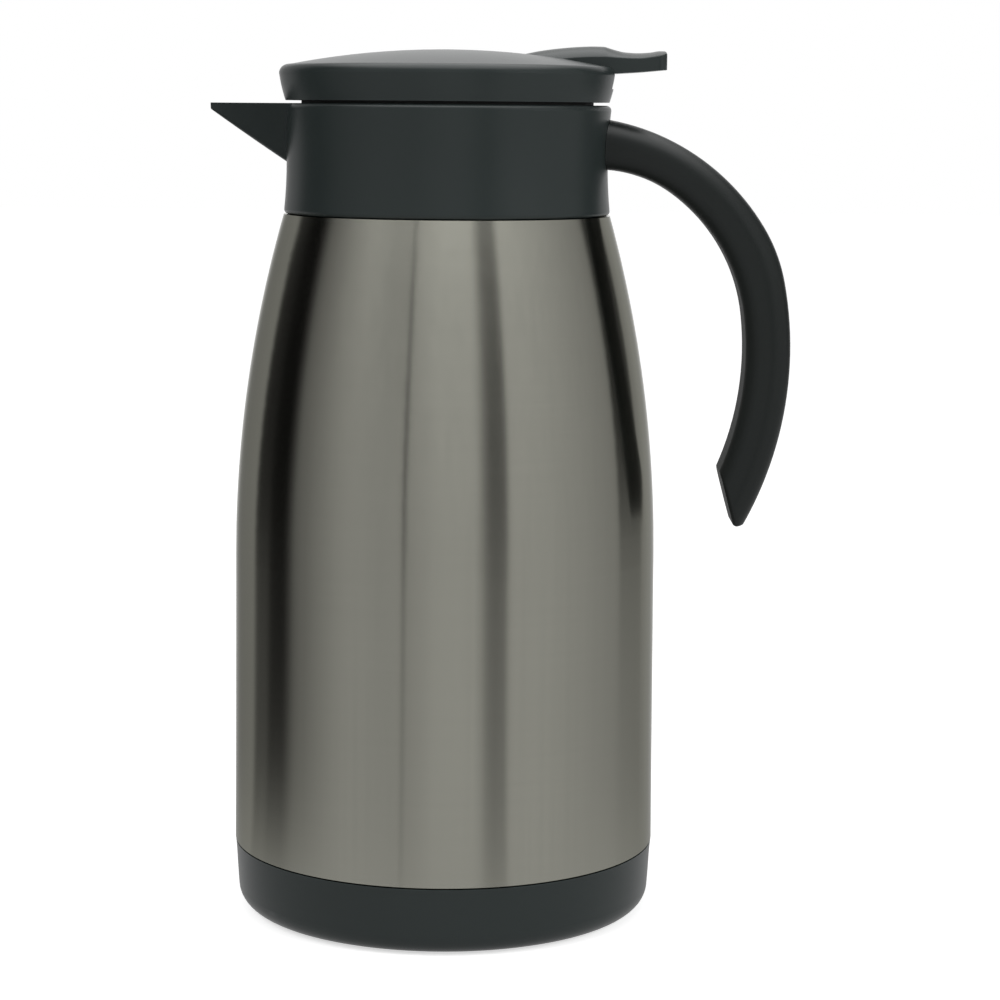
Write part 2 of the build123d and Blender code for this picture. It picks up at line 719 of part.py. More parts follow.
with BuildPart() as lid_screws:
    with Locations((0, 0, plate_z)):
        with PolarLocations(lid_screw_pcd_r, lid_screw_count, start_angle=lid_screw_angle):
            Cone(
                screw_head_r,
                screw_r,
                lid_screw_head_h,
                align=(Align.CENTER, Align.CENTER, Align.MIN),
            )
            Cylinder(screw_r, lid_screw_len, align=(Align.CENTER, Align.CENTER, Align.MIN))
lid_screws.part.label = "lid_screws"
export_step(lid_screws.part, "parts/lid_screws.step")

with BuildPart() as stem_o_ring:
    with Locations((0, 0, o_ring_floor_z + o_ring_section_r + nip)):
        Torus(stem_r + nip + o_ring_section_r, o_ring_section_r)
stem_o_ring.part.label = "stem_o_ring"
export_step(stem_o_ring.part, "parts/stem_o_ring.step")

# ==== valve ========================================================================================
with BuildPart() as valve_stem:
    disc_z = plug_z + plug_t
    groove_r = stem_r - clip_groove_depth
    with BuildSketch(Plane.XZ):
        with BuildLine():
            Polyline(
                (0, plug_z - stem_button_h),
                (stem_button_r, plug_z - stem_button_h),
                (stem_button_r, plug_z),
                (stem_r, plug_z),
                (stem_r, disc_z),
                (plug_disc_r, disc_z),
                (plug_disc_r, disc_z + plug_disc_t),
                (stem_r, disc_z + plug_disc_t),
                (stem_r, spring_foot_z - spring_flange_t),
                (spring_flange_r, spring_foot_z - spring_flange_t),
                (spring_flange_r, spring_foot_z),
                (stem_r, spring_foot_z),
                (stem_r, clip_z - seat_gap / 2),
                (groove_r, clip_z - seat_gap / 2),
                (groove_r, clip_z + clip_t + seat_gap / 2),
                (stem_r, clip_z + clip_t + seat_gap / 2),
                (stem_r, stem_top_z),
                (0, stem_top_z),
                close=True,
            )
        make_face()
    revolve(axis=Axis.Z)
    chamfer(valve_stem.edges().group_by(Axis.Z)[-1], length=clip_groove_depth)
valve_stem.part.label = "valve_stem"
export_step(valve_stem.part, "parts/valve_stem.step")

with BuildPart() as valve_plug:
    ring(stem_r + nip, plug_r, plug_z, plug_t)
    plug_rims = valve_plug.edges().filter_by(GeomType.CIRCLE).sort_by(SortBy.RADIUS)[-2:]
    fillet(plug_rims, radius=plug_edge_round)
valve_plug.part.label = "valve_plug"
export_step(valve_plug.part, "parts/valve_plug.step")

with BuildPart() as valve_spring:
    coil_h = plate_z - spring_foot_z - 2 * spring_wire_r - 2 * seat_gap
    coil_z = spring_foot_z + spring_wire_r + seat_gap
    with BuildLine() as coil:
        Helix(pitch=coil_h / spring_turns, height=coil_h, radius=spring_r, center=(0, 0, coil_z))
    with BuildSketch(Plane(origin=coil.line @ 0, z_dir=coil.line % 0)) as wire:
        Circle(spring_wire_r)
    sweep(wire.sketch, path=coil.line, is_frenet=True)
valve_spring.part.label = "valve_spring"
export_step(valve_spring.part, "parts/valve_spring.step")

with BuildPart() as stem_clip:
    ring(groove_r + nip, clip_r, clip_z, clip_t)
    with BuildSketch(Plane.XY.offset(clip_z)) as clip_mouth:
        with Locations((0, clip_r)):
            Rectangle(clip_mouth_w, 2 * clip_r)
    extrude(clip_mouth.sketch, amount=clip_t, mode=Mode.SUBTRACT)
stem_clip.part.label = "stem_clip"
export_step(stem_clip.part, "parts/stem_clip.step")

# ==== lid cover ====================================================================================
with BuildPart() as lid_form:
    with BuildSketch(Plane.XZ):
        with BuildLine():
            side = ThreePointArc(
                (lid_foot_r, lid_foot_z),
                (lid_foot_r + lid_side_bulge, lid_foot_z + lid_side_h),
                (lid_rim_r, lid_rim_z),
            )
            brow = ThreePointArc(
                side @ 1,
                (lid_rim_r - brow_in, lid_rim_z + brow_h),
                (dome_edge_r, dome_edge_z),
            )
            dome_r = (dome_edge_r**2 + dome_rise**2) / (2 * dome_rise)
            dome = RadiusArc(brow @ 1, (0, dome_top_z), -dome_r)
            Polyline((0, dome_top_z), (0, lid_foot_z), side @ 0)
        make_face()
    revolve(axis=Axis.Z)

with BuildPart() as lid_ribs:
    rib_z = plate_top_z + seat_gap
    wall_mid_y = slot_half_w + pocket_wall_t / 2
    with BuildSketch(Plane.XY.offset(rib_z)) as pocket_walls:
        for side_y in (-wall_mid_y, wall_mid_y):
            with Locations((pivot_x - pocket_wall_run, side_y)):
                Rectangle(lid_rim_r, pocket_wall_t, align=(Align.MIN, Align.CENTER))
        with PolarLocations(lid_screw_pcd_r, lid_screw_count, start_angle=lid_screw_angle):
            Circle(lid_boss_r)
    extrude(pocket_walls.sketch, amount=dome_top_z - rib_z)
    with BuildSketch(Plane.XY.offset(slot_floor_z - slot_floor_t)) as pocket_floor:
        with Locations((pivot_x + pocket_floor_run, 0)):
            Rectangle(lid_rim_r, 2 * slot_half_w + pocket_wall_t, align=(Align.MIN, Align.CENTER))
    extrude(pocket_floor.sketch, amount=slot_floor_t)
    add(lid_form.part, mode=Mode.INTERSECT)

with BuildPart() as lid_cover:
    add(lid_form.part)
    offset(amount=-lid_wall, openings=lid_cover.faces().sort_by(Axis.Z)[0])
    add(lid_ribs.part)
    with BuildSketch(Plane.XY.offset(slot_floor_z)) as slot:
        with Locations((slot_inner_x, 0)):
            Rectangle(lid_rim_r, 2 * slot_half_w, align=(Align.MIN, Align.CENTER))
    extrude(slot.sketch, amount=dome_top_z - slot_floor_z, mode=Mode.SUBTRACT)
    with Locations(Plane(origin=(pivot_x, 0, pivot_z), z_dir=(0, 1, 0))):
        Cylinder(pin_r + nip, 2 * (slot_half_w + pocket_wall_t + cut_over), mode=Mode.SUBTRACT)
    with PolarLocations(lid_screw_pcd_r, lid_screw_count, start_angle=lid_screw_angle):
        with Locations((0, 0, rib_z)):
            Cylinder(
                screw_r + seat_gap,
                lid_screw_len - plate_t,
                align=(Align.CENTER, Align.CENTER, Align.MIN),
                mode=Mode.SUBTRACT,
            )
lid_cover.part.label = "lid_cover"
export_step(lid_cover.part, "parts/lid_cover.step")

with BuildPart() as lever_pin:
    with Locations(Plane(origin=(pivot_x, 0, pivot_z), z_dir=(0, 1, 0))):
        Cylinder(pin_r, 2 * (slot_half_w + pocket_wall_t))
lever_pin.part.label = "lever_pin"
export_step(lever_pin.part, "parts/lever_pin.step")

# ==== thumb lever ==================================================================================
with BuildPart() as lever:
    for share, underside, edge, crest in lever_ribs:
        rib_x = pivot_x + share * (lever_end_x - pivot_x)
        with BuildSketch(Plane(origin=(rib_x, 0, pivot_z), x_dir=(0, 1, 0), z_dir=(1, 0, 0))):
            with BuildLine():
                crown = ThreePointArc((lever_half_w, edge), (0, crest), (-lever_half_w, edge))
                Polyline(crown @ 1, (-lever_half_w, underside), (lever_half_w, underside), crown @ 0)
            make_face()
    loft()
    with BuildSketch(Plane.XY.offset(arm_low_z)) as plan:
        with Locations((lever_end_x, 0)):
            RectangleRounded(
                2 * lever_end_x, 2 * lever_half_w, radius=lever_end_round, align=(Align.MAX, Align.CENTER)
            )
    extrude(plan.sketch, amount=dome_top_z - arm_low_z + lever_boss_r, mode=Mode.INTERSECT)
    crown_edges = lever.faces().sort_by(Axis.Z)[-1].edges().sort_by(Axis.X)[1:]
    fillet(crown_edges, radius=lever_edge_round)
    with Locations(Plane(origin=(pivot_x, 0, pivot_z), z_dir=(0, 1, 0))):
        Cylinder(lever_boss_r, 2 * lever_half_w)
    with BuildSketch(Plane.XZ) as arm:
        Polygon(
            (-arm_tip_run, arm_low_z),
            (pivot_x, arm_low_z),
            (pivot_x, pivot_z),
            (arm_t, arm_high_z),
            (0, arm_high_z),
            (-arm_tip_run, arm_high_z - arm_tip_drop),
            align=None,
        )
    extrude(arm.sketch, amount=arm_half_w, both=True)
    with BuildSketch(Plane.XY.offset(arm_low_z)) as fork:
        with Locations((stem_r + 2 * moving_gap, 0)):
            Rectangle(pivot_x, 2 * (stem_r + moving_gap), align=(Align.MAX, Align.CENTER))
    extrude(fork.sketch, amount=arm_t, mode=Mode.SUBTRACT)
    with Locations(Plane(origin=(pivot_x, 0, pivot_z), z_dir=(0, 1, 0))):
        Cylinder(pin_r + running_gap, 2 * (lever_half_w + cut_over), mode=Mode.SUBTRACT)
lever.part.label = "lever"
export_step(lever.part, "parts/lever.step")


# ==== handle =======================================================================================
back_turns = sweeps_down_to(handle_foot_z, back_root, back_heading, back_radii, back_sweeps)
grip_turns = sweeps_down_to(heel_z, grip_root, grip_heading, grip_radii, grip_sweeps)


def handle_band(outer_depth, inner_depth, end_trim):
    """Side view of a strip that follows the handle's back between two depths."""
    sweeps = back_turns[:-1] + (back_turns[-1] - end_trim,)
    with BuildSketch(Plane.XZ) as band:
        with BuildLine():
            outer = arc_chain(back_root, back_heading, back_radii, sweeps, outer_depth)
            inner = arc_chain(back_root, back_heading, back_radii, sweeps, inner_depth)
            Line(outer[0] @ 0, inner[0] @ 0)
            Line(outer[-1] @ 1, inner[-1] @ 1)
        make_face()
    return band.sketch


def arc_edges(edges, radii):
    """The edges that are arcs of one of these radii."""
    return edges.filter_by(lambda edge: min(abs(edge.radius - radius) for radius in radii) < radius_match)


with BuildPart() as handle_form:
    long_back_turns = back_turns[:-1] + (back_turns[-1] + foot_overrun,)
    long_grip_turns = grip_turns[:-1] + (grip_turns[-1] + foot_overrun,)
    with BuildSketch(Plane.XZ) as side_view:
        with BuildLine():
            back = arc_chain(back_root, back_heading, back_radii, long_back_turns)
            grip = arc_chain(grip_root, grip_heading, grip_radii, long_grip_turns)
            Line(grip[-1] @ 1, back[-1] @ 1)
            Line(back[0] @ 0, grip[0] @ 0)
        make_face()
    extrude(side_view.sketch, amount=handle_w / 2, both=True)
    side_edges = handle_form.edges().filter_by(GeomType.CIRCLE)
    fillet(arc_edges(side_edges, back_radii), radius=back_round)
    fillet(arc_edges(side_edges, grip_radii), radius=grip_round)
    with BuildLine(Plane.XZ, mode=Mode.PRIVATE):
        heel = arc_chain(grip_root, grip_heading, grip_radii, grip_turns)[-1] @ 1
        back_end = arc_chain(back_root, back_heading, back_radii, back_turns)[-1] @ 1
    with BuildSketch(Plane.XZ) as foot_cut:
        Polygon(
            (heel.X, heel.Z),
            (back_end.X - toe_w, handle_foot_z),
            (back_end.X + handle_drop, handle_foot_z),
            (back_end.X + handle_drop, 0),
            (heel.X - handle_w, 0),
            (heel.X - handle_w, heel.Z),
            align=None,
        )
    extrude(foot_cut.sketch, amount=handle_w, both=True, mode=Mode.SUBTRACT)
    foot_faces = handle_form.faces().filter_by(GeomType.PLANE).sort_by(Axis.Z)[:2]
    fillet(foot_faces.edges(), radius=foot_round)

with BuildPart() as handle_body:
    add(handle_form.part)
    channel_half_w = cover_half_w + seat_gap
    cover_slot = handle_band(-back_round, cover_t + seat_gap, cover_end_trim - seat_gap)
    extrude(cover_slot, amount=channel_half_w, both=True, mode=Mode.SUBTRACT)
    with BuildSketch(Plane.XZ) as hollow:
        add(side_view.sketch)
        add(foot_cut.sketch, mode=Mode.SUBTRACT)
        offset(amount=-handle_wall, kind=Kind.INTERSECTION)
        with Locations((root_block_x, handle_foot_z)):
            Rectangle(
                2 * collar_bore_r,
                2 * collar_top_z,
                align=(Align.MAX, Align.CENTER),
                mode=Mode.SUBTRACT,
            )
    extrude(hollow.sketch, amount=cover_half_w - cover_shelf_w, both=True, mode=Mode.SUBTRACT)
    revolve(collar_outline(0, seat_gap), axis=Axis.Z, mode=Mode.SUBTRACT)
    with BuildSketch(Plane.XY.offset(handle_foot_z)) as inside:
        Circle(collar_waist_r)
    extrude(inside.sketch, amount=2 * collar_top_z, mode=Mode.SUBTRACT)
    for screw_z in handle_screw_z:
        with Locations(Plane(origin=(collar_bore_r, 0, screw_z), z_dir=(-1, 0, 0))):
            Hole(radius=screw_r + seat_gap, depth=handle_screw_len + seat_gap)
handle_body.part.label = "handle_body"
export_step(handle_body.part, "parts/handle_body.step")

with BuildPart() as handle_cover:
    extrude(handle_band(-back_round, cover_t, cover_end_trim), amount=cover_half_w, both=True)
    add(handle_form.part, mode=Mode.INTERSECT)
    revolve(collar_outline(0, seat_gap), axis=Axis.Z, mode=Mode.SUBTRACT)
    with BuildSketch(Plane.XY.offset(handle_foot_z)) as inside:
        Circle(collar_waist_r)
    extrude(inside.sketch, amount=2 * collar_top_z, mode=Mode.SUBTRACT)
handle_cover.part.label = "handle_cover"
export_step(handle_cover.part, "parts/handle_cover.step")

with BuildPart() as handle_screws:
    for screw_z in handle_screw_z:
        with Locations(Plane(origin=(collar_bore_r - seat_gap, 0, screw_z), z_dir=(1, 0, 0))):
            Cylinder(screw_r, handle_screw_len, align=(Align.CENTER, Align.CENTER, Align.MIN))
            Cylinder(
                handle_screw_head_r,
                handle_screw_head_h,
                align=(Align.CENTER, Align.CENTER, Align.MAX),
            )
handle_screws.part.label = "handle_screws"
export_step(handle_screws.part, "parts/handle_screws.step")
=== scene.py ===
from collections import namedtuple
from math import asin, cos, degrees, pi, radians, sin

import bmesh
import bpy
from bpy.props import FloatProperty, FloatVectorProperty, IntProperty, PointerProperty
from mathutils import Matrix, Vector


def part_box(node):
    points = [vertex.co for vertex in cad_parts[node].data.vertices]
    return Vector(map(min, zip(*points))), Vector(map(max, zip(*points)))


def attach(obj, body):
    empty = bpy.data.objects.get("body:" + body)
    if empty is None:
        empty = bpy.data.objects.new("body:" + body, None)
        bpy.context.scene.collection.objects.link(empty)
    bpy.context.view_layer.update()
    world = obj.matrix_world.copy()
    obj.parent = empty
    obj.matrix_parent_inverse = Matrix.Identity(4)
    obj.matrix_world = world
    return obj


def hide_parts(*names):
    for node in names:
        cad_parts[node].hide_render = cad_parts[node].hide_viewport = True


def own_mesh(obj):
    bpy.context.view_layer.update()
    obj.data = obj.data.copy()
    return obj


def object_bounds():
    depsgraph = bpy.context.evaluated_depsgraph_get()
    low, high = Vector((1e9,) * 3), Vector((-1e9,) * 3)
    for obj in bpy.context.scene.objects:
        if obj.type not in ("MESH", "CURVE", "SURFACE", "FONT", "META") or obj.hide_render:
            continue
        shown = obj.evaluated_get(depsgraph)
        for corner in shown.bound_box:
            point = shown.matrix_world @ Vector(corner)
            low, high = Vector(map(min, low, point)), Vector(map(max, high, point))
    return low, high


bl_info = {
    "name": "Vacuum carafe",
    "version": (1, 0, 0),
    "blender": (4, 5, 0),
    "location": "View3D > Sidebar > Carafe",
    "description": "Finishes, fasteners, valve spring and studio for a steel vacuum carafe",
    "category": "Object",
}

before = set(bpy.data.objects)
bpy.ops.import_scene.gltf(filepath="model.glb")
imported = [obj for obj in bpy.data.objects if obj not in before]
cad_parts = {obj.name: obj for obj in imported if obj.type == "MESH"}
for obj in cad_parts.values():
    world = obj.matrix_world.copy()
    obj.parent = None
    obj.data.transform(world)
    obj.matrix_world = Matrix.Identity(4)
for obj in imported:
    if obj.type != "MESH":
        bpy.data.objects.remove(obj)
cad_low, cad_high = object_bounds()
spring_low, spring_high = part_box("valve_spring")
lid_screw_low, lid_screw_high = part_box("lid_screws")
handle_screw_low, handle_screw_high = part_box("handle_screws")
body_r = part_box("outer_shell")[1].y
lever_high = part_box("lever")[1]
pin_low, pin_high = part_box("lever_pin")
pin = (pin_low + pin_high) / 2

# CAD nodes that share a finish
STEEL = ("outer_shell",)
FLASK = ("inner_flask", "outer_bottom")
GETTER = ("getter",)
BEAD = ("vacuum_seal_bead",)
SLATE_PLASTIC = ("base_cup", "collar", "lid_cover", "lever")
HANDLE_PLASTIC = ("handle_body", "handle_cover")
FOOD_PLASTIC = ("mouth_cup", "stopper_body", "valve_seat", "valve_stem")
SILICONE = (
    "foot_ring",
    "neck_gasket",
    "stopper_seal",
    "lid_gasket",
    "stem_o_ring",
    "valve_plug",
)
SMALL_METAL = ("lever_pin", "stem_clip")


# ---- settings a user would change ----------------------------------------------------------------
def colour(name, description, default):
    """A colour setting."""
    return FloatVectorProperty(
        name=name,
        description=description,
        default=default,
        size=3,
        min=0.0,
        max=1.0,
        subtype="COLOR",
    )


def length(name, description, default):
    """A length setting, in metres."""
    return FloatProperty(
        name=name,
        description=description,
        default=default,
        min=0.0,
        unit="LENGTH",
    )


def share(name, description, default):
    """A setting from 0 to 1."""
    return FloatProperty(
        name=name,
        description=description,
        default=default,
        min=0.0,
        max=1.0,
        subtype="FACTOR",
    )


def amount(name, description, default, unit="NONE", least=0.0):
    """A setting with a lower end only, in its own unit."""
    return FloatProperty(
        name=name,
        description=description,
        default=default,
        min=least,
        unit=unit,
    )


def tilt(name, description, default):
    """An angle setting, with its default in degrees."""
    return FloatProperty(
        name=name,
        description=description,
        default=radians(default),
        subtype="ANGLE",
        unit="ROTATION",
    )


class CarafeSteel(bpy.types.PropertyGroup):
    """Colours and polish of the steel pieces."""

    body: colour("Body", "Tint of the brushed outer shell", (0.405, 0.402, 0.350))
    flask: colour("Flask", "Tint of the drawn inner flask", (0.56, 0.56, 0.55))
    body_roughness: share("Body roughness", "Width of the brushed shell's reflections", 0.20)
    flask_roughness: share("Flask roughness", "Width of the flask's reflections", 0.32)
    getter_roughness: share("Getter roughness", "Width of the getter's reflections", 0.5)
    bead_roughness: share("Bead roughness", "Width of the fused bead's reflections", 0.3)
    line_pitch: length("Line pitch", "Distance between brushing lines", 0.00035)


class CarafePlastic(bpy.types.PropertyGroup):
    """Colours and grain of the moulded pieces."""

    slate: colour("Slate", "Moulded outer plastic", (0.0165, 0.0217, 0.0212))
    grip: colour("Grip", "Darker plastic of the handle", (0.0088, 0.0108, 0.0103))
    inner: colour("Inner", "Food-safe plastic of the mouth and the stopper", (0.030, 0.033, 0.033))
    silicone: colour("Silicone", "Seals, gasket and foot ring", (0.045, 0.046, 0.046))
    slate_roughness: share("Slate roughness", "Roughness of the outer plastic", 0.29)
    grip_roughness: share("Grip roughness", "Roughness of the handle", 0.36)
    palm_roughness: share("Palm roughness", "Roughness of the handle's inner face", 0.62)
    inner_roughness: share("Inner roughness", "Roughness of the inner plastic", 0.34)
    silicone_roughness: share("Silicone roughness", "Roughness of the silicone", 0.62)
    grain: length("Grain", "Size of the moulded grain", 0.00028)
    # The edges of this width are also lightened in the plastics' colour, a painted highlight
    # besides the rubbed polish.
    highlit_worn_edge: length("Worn and highlit edge", "Width of the edges that hands polish", 0.0007)


class CarafeLever(bpy.types.PropertyGroup):
    """Roundings, boss and pin hole of the thumb lever."""

    edge_round: length("Edge round", "Rounding of the blade's upper edges", 0.0007)
    end_round: length("End round", "Rounding of the blade's end, seen from above", 0.003)
    boss: length("Boss", "Radius of the boss round the pin", 0.004)
    pin_gap: length("Pin gap", "Running gap round the pin", 0.00007)


class CarafeHardware(bpy.types.PropertyGroup):
    """Sizes of the spring and the screws."""

    metal: colour("Metal", "Stainless pins, clips, screws and spring", (0.58, 0.58, 0.56))
    metal_roughness: share("Metal roughness", "Width of the small metal's reflections", 0.28)
    turning_pitch: length("Turning pitch", "Distance between turning lines", 0.00025)
    wire: length("Wire", "Radius of the spring's wire", 0.00045)
    spring_turns: amount("Turns", "Open turns of the spring", 5.0, least=1.0)
    screw: length("Screw", "Radius of the screws' shanks", 0.0015)
    thread_pitch: length("Thread pitch", "Pitch of the screws' thread", 0.0011)
    cross_width: length("Cross width", "Width of the cross recess in the screws' heads", 0.0006)
    lid_head: length("Lid screw head", "Radius of the lid screws' countersunk heads", 0.0028)
    lid_head_depth: length("Lid head depth", "Height of the lid screws' heads", 0.0015)
    handle_head_depth: length("Handle head depth", "Height of the handle screws' heads", 0.0017)
    lid_screw_count: IntProperty(
        name="Lid screws",
        description="Screws round the lid",
        default=3,
        min=1,
    )


class CarafeStudio(bpy.types.PropertyGroup):
    """Floor, lights and camera."""

    floor: colour("Floor", "Pale floor", (0.8, 0.8, 0.8))
    floor_size: length("Floor size", "Side of the square floor", 12.0)
    ambient: amount("Ambient", "Soft light from all round", 0.55)
    front: share("Front level", "How bright the set in front looks in reflections", 0.57)
    overhead: amount("Overhead level", "How bright the roof looks in reflections", 3.4)
    lift: share("Floor lift", "Added light that turns the lit floor white for the camera", 0.60)
    shade_reach: length("Shade reach", "Distance over which the cards fade on the floor", 0.26)
    key: amount("Key", "Softbox above, on the left", 10.0, "POWER")
    fill: amount("Fill", "Softbox on the right", 11.0, "POWER")
    key_size: length("Key size", "Side of the left softbox", 0.9)
    fill_size: length("Fill size", "Side of the right softbox", 0.8)
    lens: amount("Lens", "Focal length in millimetres", 99.24, "CAMERA", least=1.0)
    camera_drop: tilt("Camera drop", "How far the camera looks down", 8.017)
    camera_roll: tilt("Camera roll", "How far the camera leans over", 0.487)
    camera_place: FloatVectorProperty(
        name="Camera place",
        description="Where the camera stands",
        default=(0.01686, -0.8434, 0.2456),
        size=3,
        subtype="TRANSLATION",
        unit="LENGTH",
    )


# ---- node helpers --------------------------------------------------------------------------------
class Nodes:
    """Adds and joins shader nodes in one tree."""

    def __init__(self, tree):
        self.tree = tree

    def add(self, kind, **settings):
        """A node of one kind, with its settings."""
        node = self.tree.nodes.new(kind)
        for name, value in settings.items():
            setattr(node, name, value)
        return node

    def join(self, source, target):
        """A link from an output socket to an input socket."""
        self.tree.links.new(source, target)

    def feed(self, socket, value):
        """Gives an input socket a link or a constant."""
        if isinstance(value, bpy.types.NodeSocket):
            self.join(value, socket)
        else:
            socket.default_value = value

    def math(self, operation, first, second=0.0, third=0.0):
        """A math node's result."""
        node = self.add("ShaderNodeMath", operation=operation)
        for socket, value in zip(node.inputs, (first, second, third)):
            self.feed(socket, value)
        return node.outputs[0]

    def smooth(self, value, low, high, out_low=0.0, out_high=1.0):
        """A smooth step from out_low at low to out_high at high."""
        node = self.add("ShaderNodeMapRange", interpolation_type="SMOOTHSTEP")
        for name, given in (
            ("Value", value),
            ("From Min", low),
            ("From Max", high),
            ("To Min", out_low),
            ("To Max", out_high),
        ):
            self.feed(node.inputs[name], given)
        return node.outputs["Result"]

    def noise(self, vector, scale, detail=2.0, roughness=0.5):
        """A noise texture's value."""
        node = self.add("ShaderNodeTexNoise")
        self.feed(node.inputs["Vector"], vector)
        self.feed(node.inputs["Scale"], scale)
        node.inputs["Detail"].default_value = detail
        node.inputs["Roughness"].default_value = roughness
        return node.outputs["Fac"]

    def stretched(self, vector, scale):
        """A vector times a scale on each axis."""
        node = self.add("ShaderNodeVectorMath", operation="MULTIPLY")
        self.feed(node.inputs[0], vector)
        self.feed(node.inputs[1], scale)
        return node.outputs[0]

    def brightened(self, tint, gain):
        """A colour times a value."""
        node = self.add("ShaderNodeVectorMath", operation="SCALE")
        self.feed(node.inputs[0], tint)
        self.feed(node.inputs["Scale"], gain)
        return node.outputs[0]


def new_group(name, inputs, outputs):
    """A shader node group with named sockets, given as (name, socket type, default)."""
    group = bpy.data.node_groups.new(name, "ShaderNodeTree")
    for label, kind, default in inputs:
        socket = group.interface.new_socket(name=label, in_out="INPUT", socket_type=kind)
        socket.default_value = default
    for label, kind in outputs:
        group.interface.new_socket(name=label, in_out="OUTPUT", socket_type=kind)
    return group


FLOAT = "NodeSocketFloat"
COLOUR = "NodeSocketColor"


def group_named(name, build):
    """The shared group, made the first time that a material asks for it."""
    return bpy.data.node_groups.get(name) or build(name)


def build_brushing(name):
    """Fine lines round the axis, with slow shading along and across them."""
    group = new_group(
        name,
        (
            ("Tint", COLOUR, (0.5, 0.5, 0.5, 1.0)),
            ("Roughness", FLOAT, 0.3),
            ("Line Pitch", FLOAT, 0.0004),
            ("Contrast", FLOAT, 0.06),
        ),
        (("Colour", COLOUR), ("Roughness", FLOAT), ("Height", FLOAT)),
    )
    along_lines = 26.0
    streak_scale = (520.0, 520.0, 3.5)
    cloud_scale = 22.0
    line_part, streak_part, cloud_part = 0.4, 0.35, 0.25
    tint_swing, gloss_swing = 2.0, 3.0
    n = Nodes(group)
    given = n.add("NodeGroupInput").outputs
    made = n.add("NodeGroupOutput").inputs
    place = n.add("ShaderNodeTexCoord").outputs["Object"]
    across = n.math("DIVIDE", 1.0, given["Line Pitch"])
    scale = n.add("ShaderNodeCombineXYZ")
    scale.inputs["X"].default_value = along_lines
    scale.inputs["Y"].default_value = along_lines
    n.join(across, scale.inputs["Z"])
    lines = n.noise(n.stretched(place, scale.outputs[0]), 1.0, detail=3.0, roughness=0.65)
    streaks = n.noise(n.stretched(place, streak_scale), 1.0, detail=2.0, roughness=0.6)
    clouds = n.noise(place, cloud_scale, detail=3.0)
    mix = n.math(
        "ADD",
        n.math("MULTIPLY", lines, line_part),
        n.math("MULTIPLY", streaks, streak_part),
    )
    mix = n.math("ADD", mix, n.math("MULTIPLY", clouds, cloud_part))
    swing = n.math("MULTIPLY", n.math("SUBTRACT", mix, 0.5), given["Contrast"])
    gain = n.math("MULTIPLY_ADD", swing, tint_swing, 1.0)
    dulling = n.math("MULTIPLY_ADD", swing, gloss_swing, 1.0)
    n.join(n.brightened(given["Tint"], gain), made["Colour"])
    n.join(n.math("MULTIPLY", given["Roughness"], dulling), made["Roughness"])
    n.join(lines, made["Height"])
    return group


def build_moulding(name):
    """Fine spark grain with slow gloss patches, as a mould leaves it."""
    group = new_group(
        name,
        (
            ("Tint", COLOUR, (0.1, 0.1, 0.1, 1.0)),
            ("Roughness", FLOAT, 0.4),
            ("Grain Size", FLOAT, 0.0003),
            ("Patches", FLOAT, 0.1),
        ),
        (("Colour", COLOUR), ("Roughness", FLOAT), ("Height", FLOAT)),
    )
    patch_scale = 35.0
    speck_contrast = 0.12
    n = Nodes(group)
    given = n.add("NodeGroupInput").outputs
    made = n.add("NodeGroupOutput").inputs
    place = n.add("ShaderNodeTexCoord").outputs["Object"]
    grain = n.noise(place, n.math("DIVIDE", 1.0, given["Grain Size"]), roughness=0.6)
    patches = n.noise(place, patch_scale, detail=4.0, roughness=0.6)
    swing = n.math("MULTIPLY", n.math("SUBTRACT", patches, 0.5), given["Patches"])
    speck = n.math("MULTIPLY", n.math("SUBTRACT", grain, 0.5), speck_contrast)
    gain = n.math("ADD", n.math("ADD", swing, speck), 1.0)
    n.join(n.brightened(given["Tint"], gain), made["Colour"])
    n.join(n.math("MULTIPLY", given["Roughness"], n.math("ADD", swing, 1.0)), made["Roughness"])
    n.join(grain, made["Height"])
    return group


def build_edge_wear_and_highlight(name):
    """A mask of the outer edges, broken up where hands rub them. The plastics use it for rubbed
    polish and also for a painted highlight that lightens their edges.
    """
    group = new_group(
        name,
        (("Width", FLOAT, 0.0006), ("Strength", FLOAT, 0.5)),
        (("Mask", FLOAT),),
    )
    flat_match, edge_match = 0.995, 0.86
    rub_scale = 160.0
    bare_below, rubbed_above = 0.3, 0.62
    n = Nodes(group)
    given = n.add("NodeGroupInput").outputs
    made = n.add("NodeGroupOutput").inputs
    place = n.add("ShaderNodeTexCoord").outputs["Object"]
    soft = n.add("ShaderNodeBevel", samples=6)
    n.join(given["Width"], soft.inputs["Radius"])
    flat = n.add("ShaderNodeNewGeometry").outputs["Normal"]
    match = n.add("ShaderNodeVectorMath", operation="DOT_PRODUCT")
    n.join(soft.outputs[0], match.inputs[0])
    n.join(flat, match.inputs[1])
    edge = n.smooth(match.outputs["Value"], flat_match, edge_match)
    rubs = n.noise(place, rub_scale, detail=4.0, roughness=0.65)
    broken = n.smooth(rubs, bare_below, rubbed_above)
    # This mask lightens the plastics' colour along their edges as a painted highlight, and lowers
    # their roughness as rubbed polish.
    rubbed_and_highlit = n.math("MULTIPLY", edge, broken)
    n.join(n.math("MULTIPLY", rubbed_and_highlit, given["Strength"]), made["Mask"])
    return group


def finished(material, n, settings, sockets):
    """Ends a material in one Principled shader, with constants on its own sockets."""
    shader = n.add("ShaderNodeBsdfPrincipled")
    for label, value in settings.items():
        shader.inputs[label].default_value = value
    for label, source in sockets.items():
        n.join(source, shader.inputs[label])
    n.join(shader.outputs[0], n.add("ShaderNodeOutputMaterial").inputs["Surface"])
    return shader


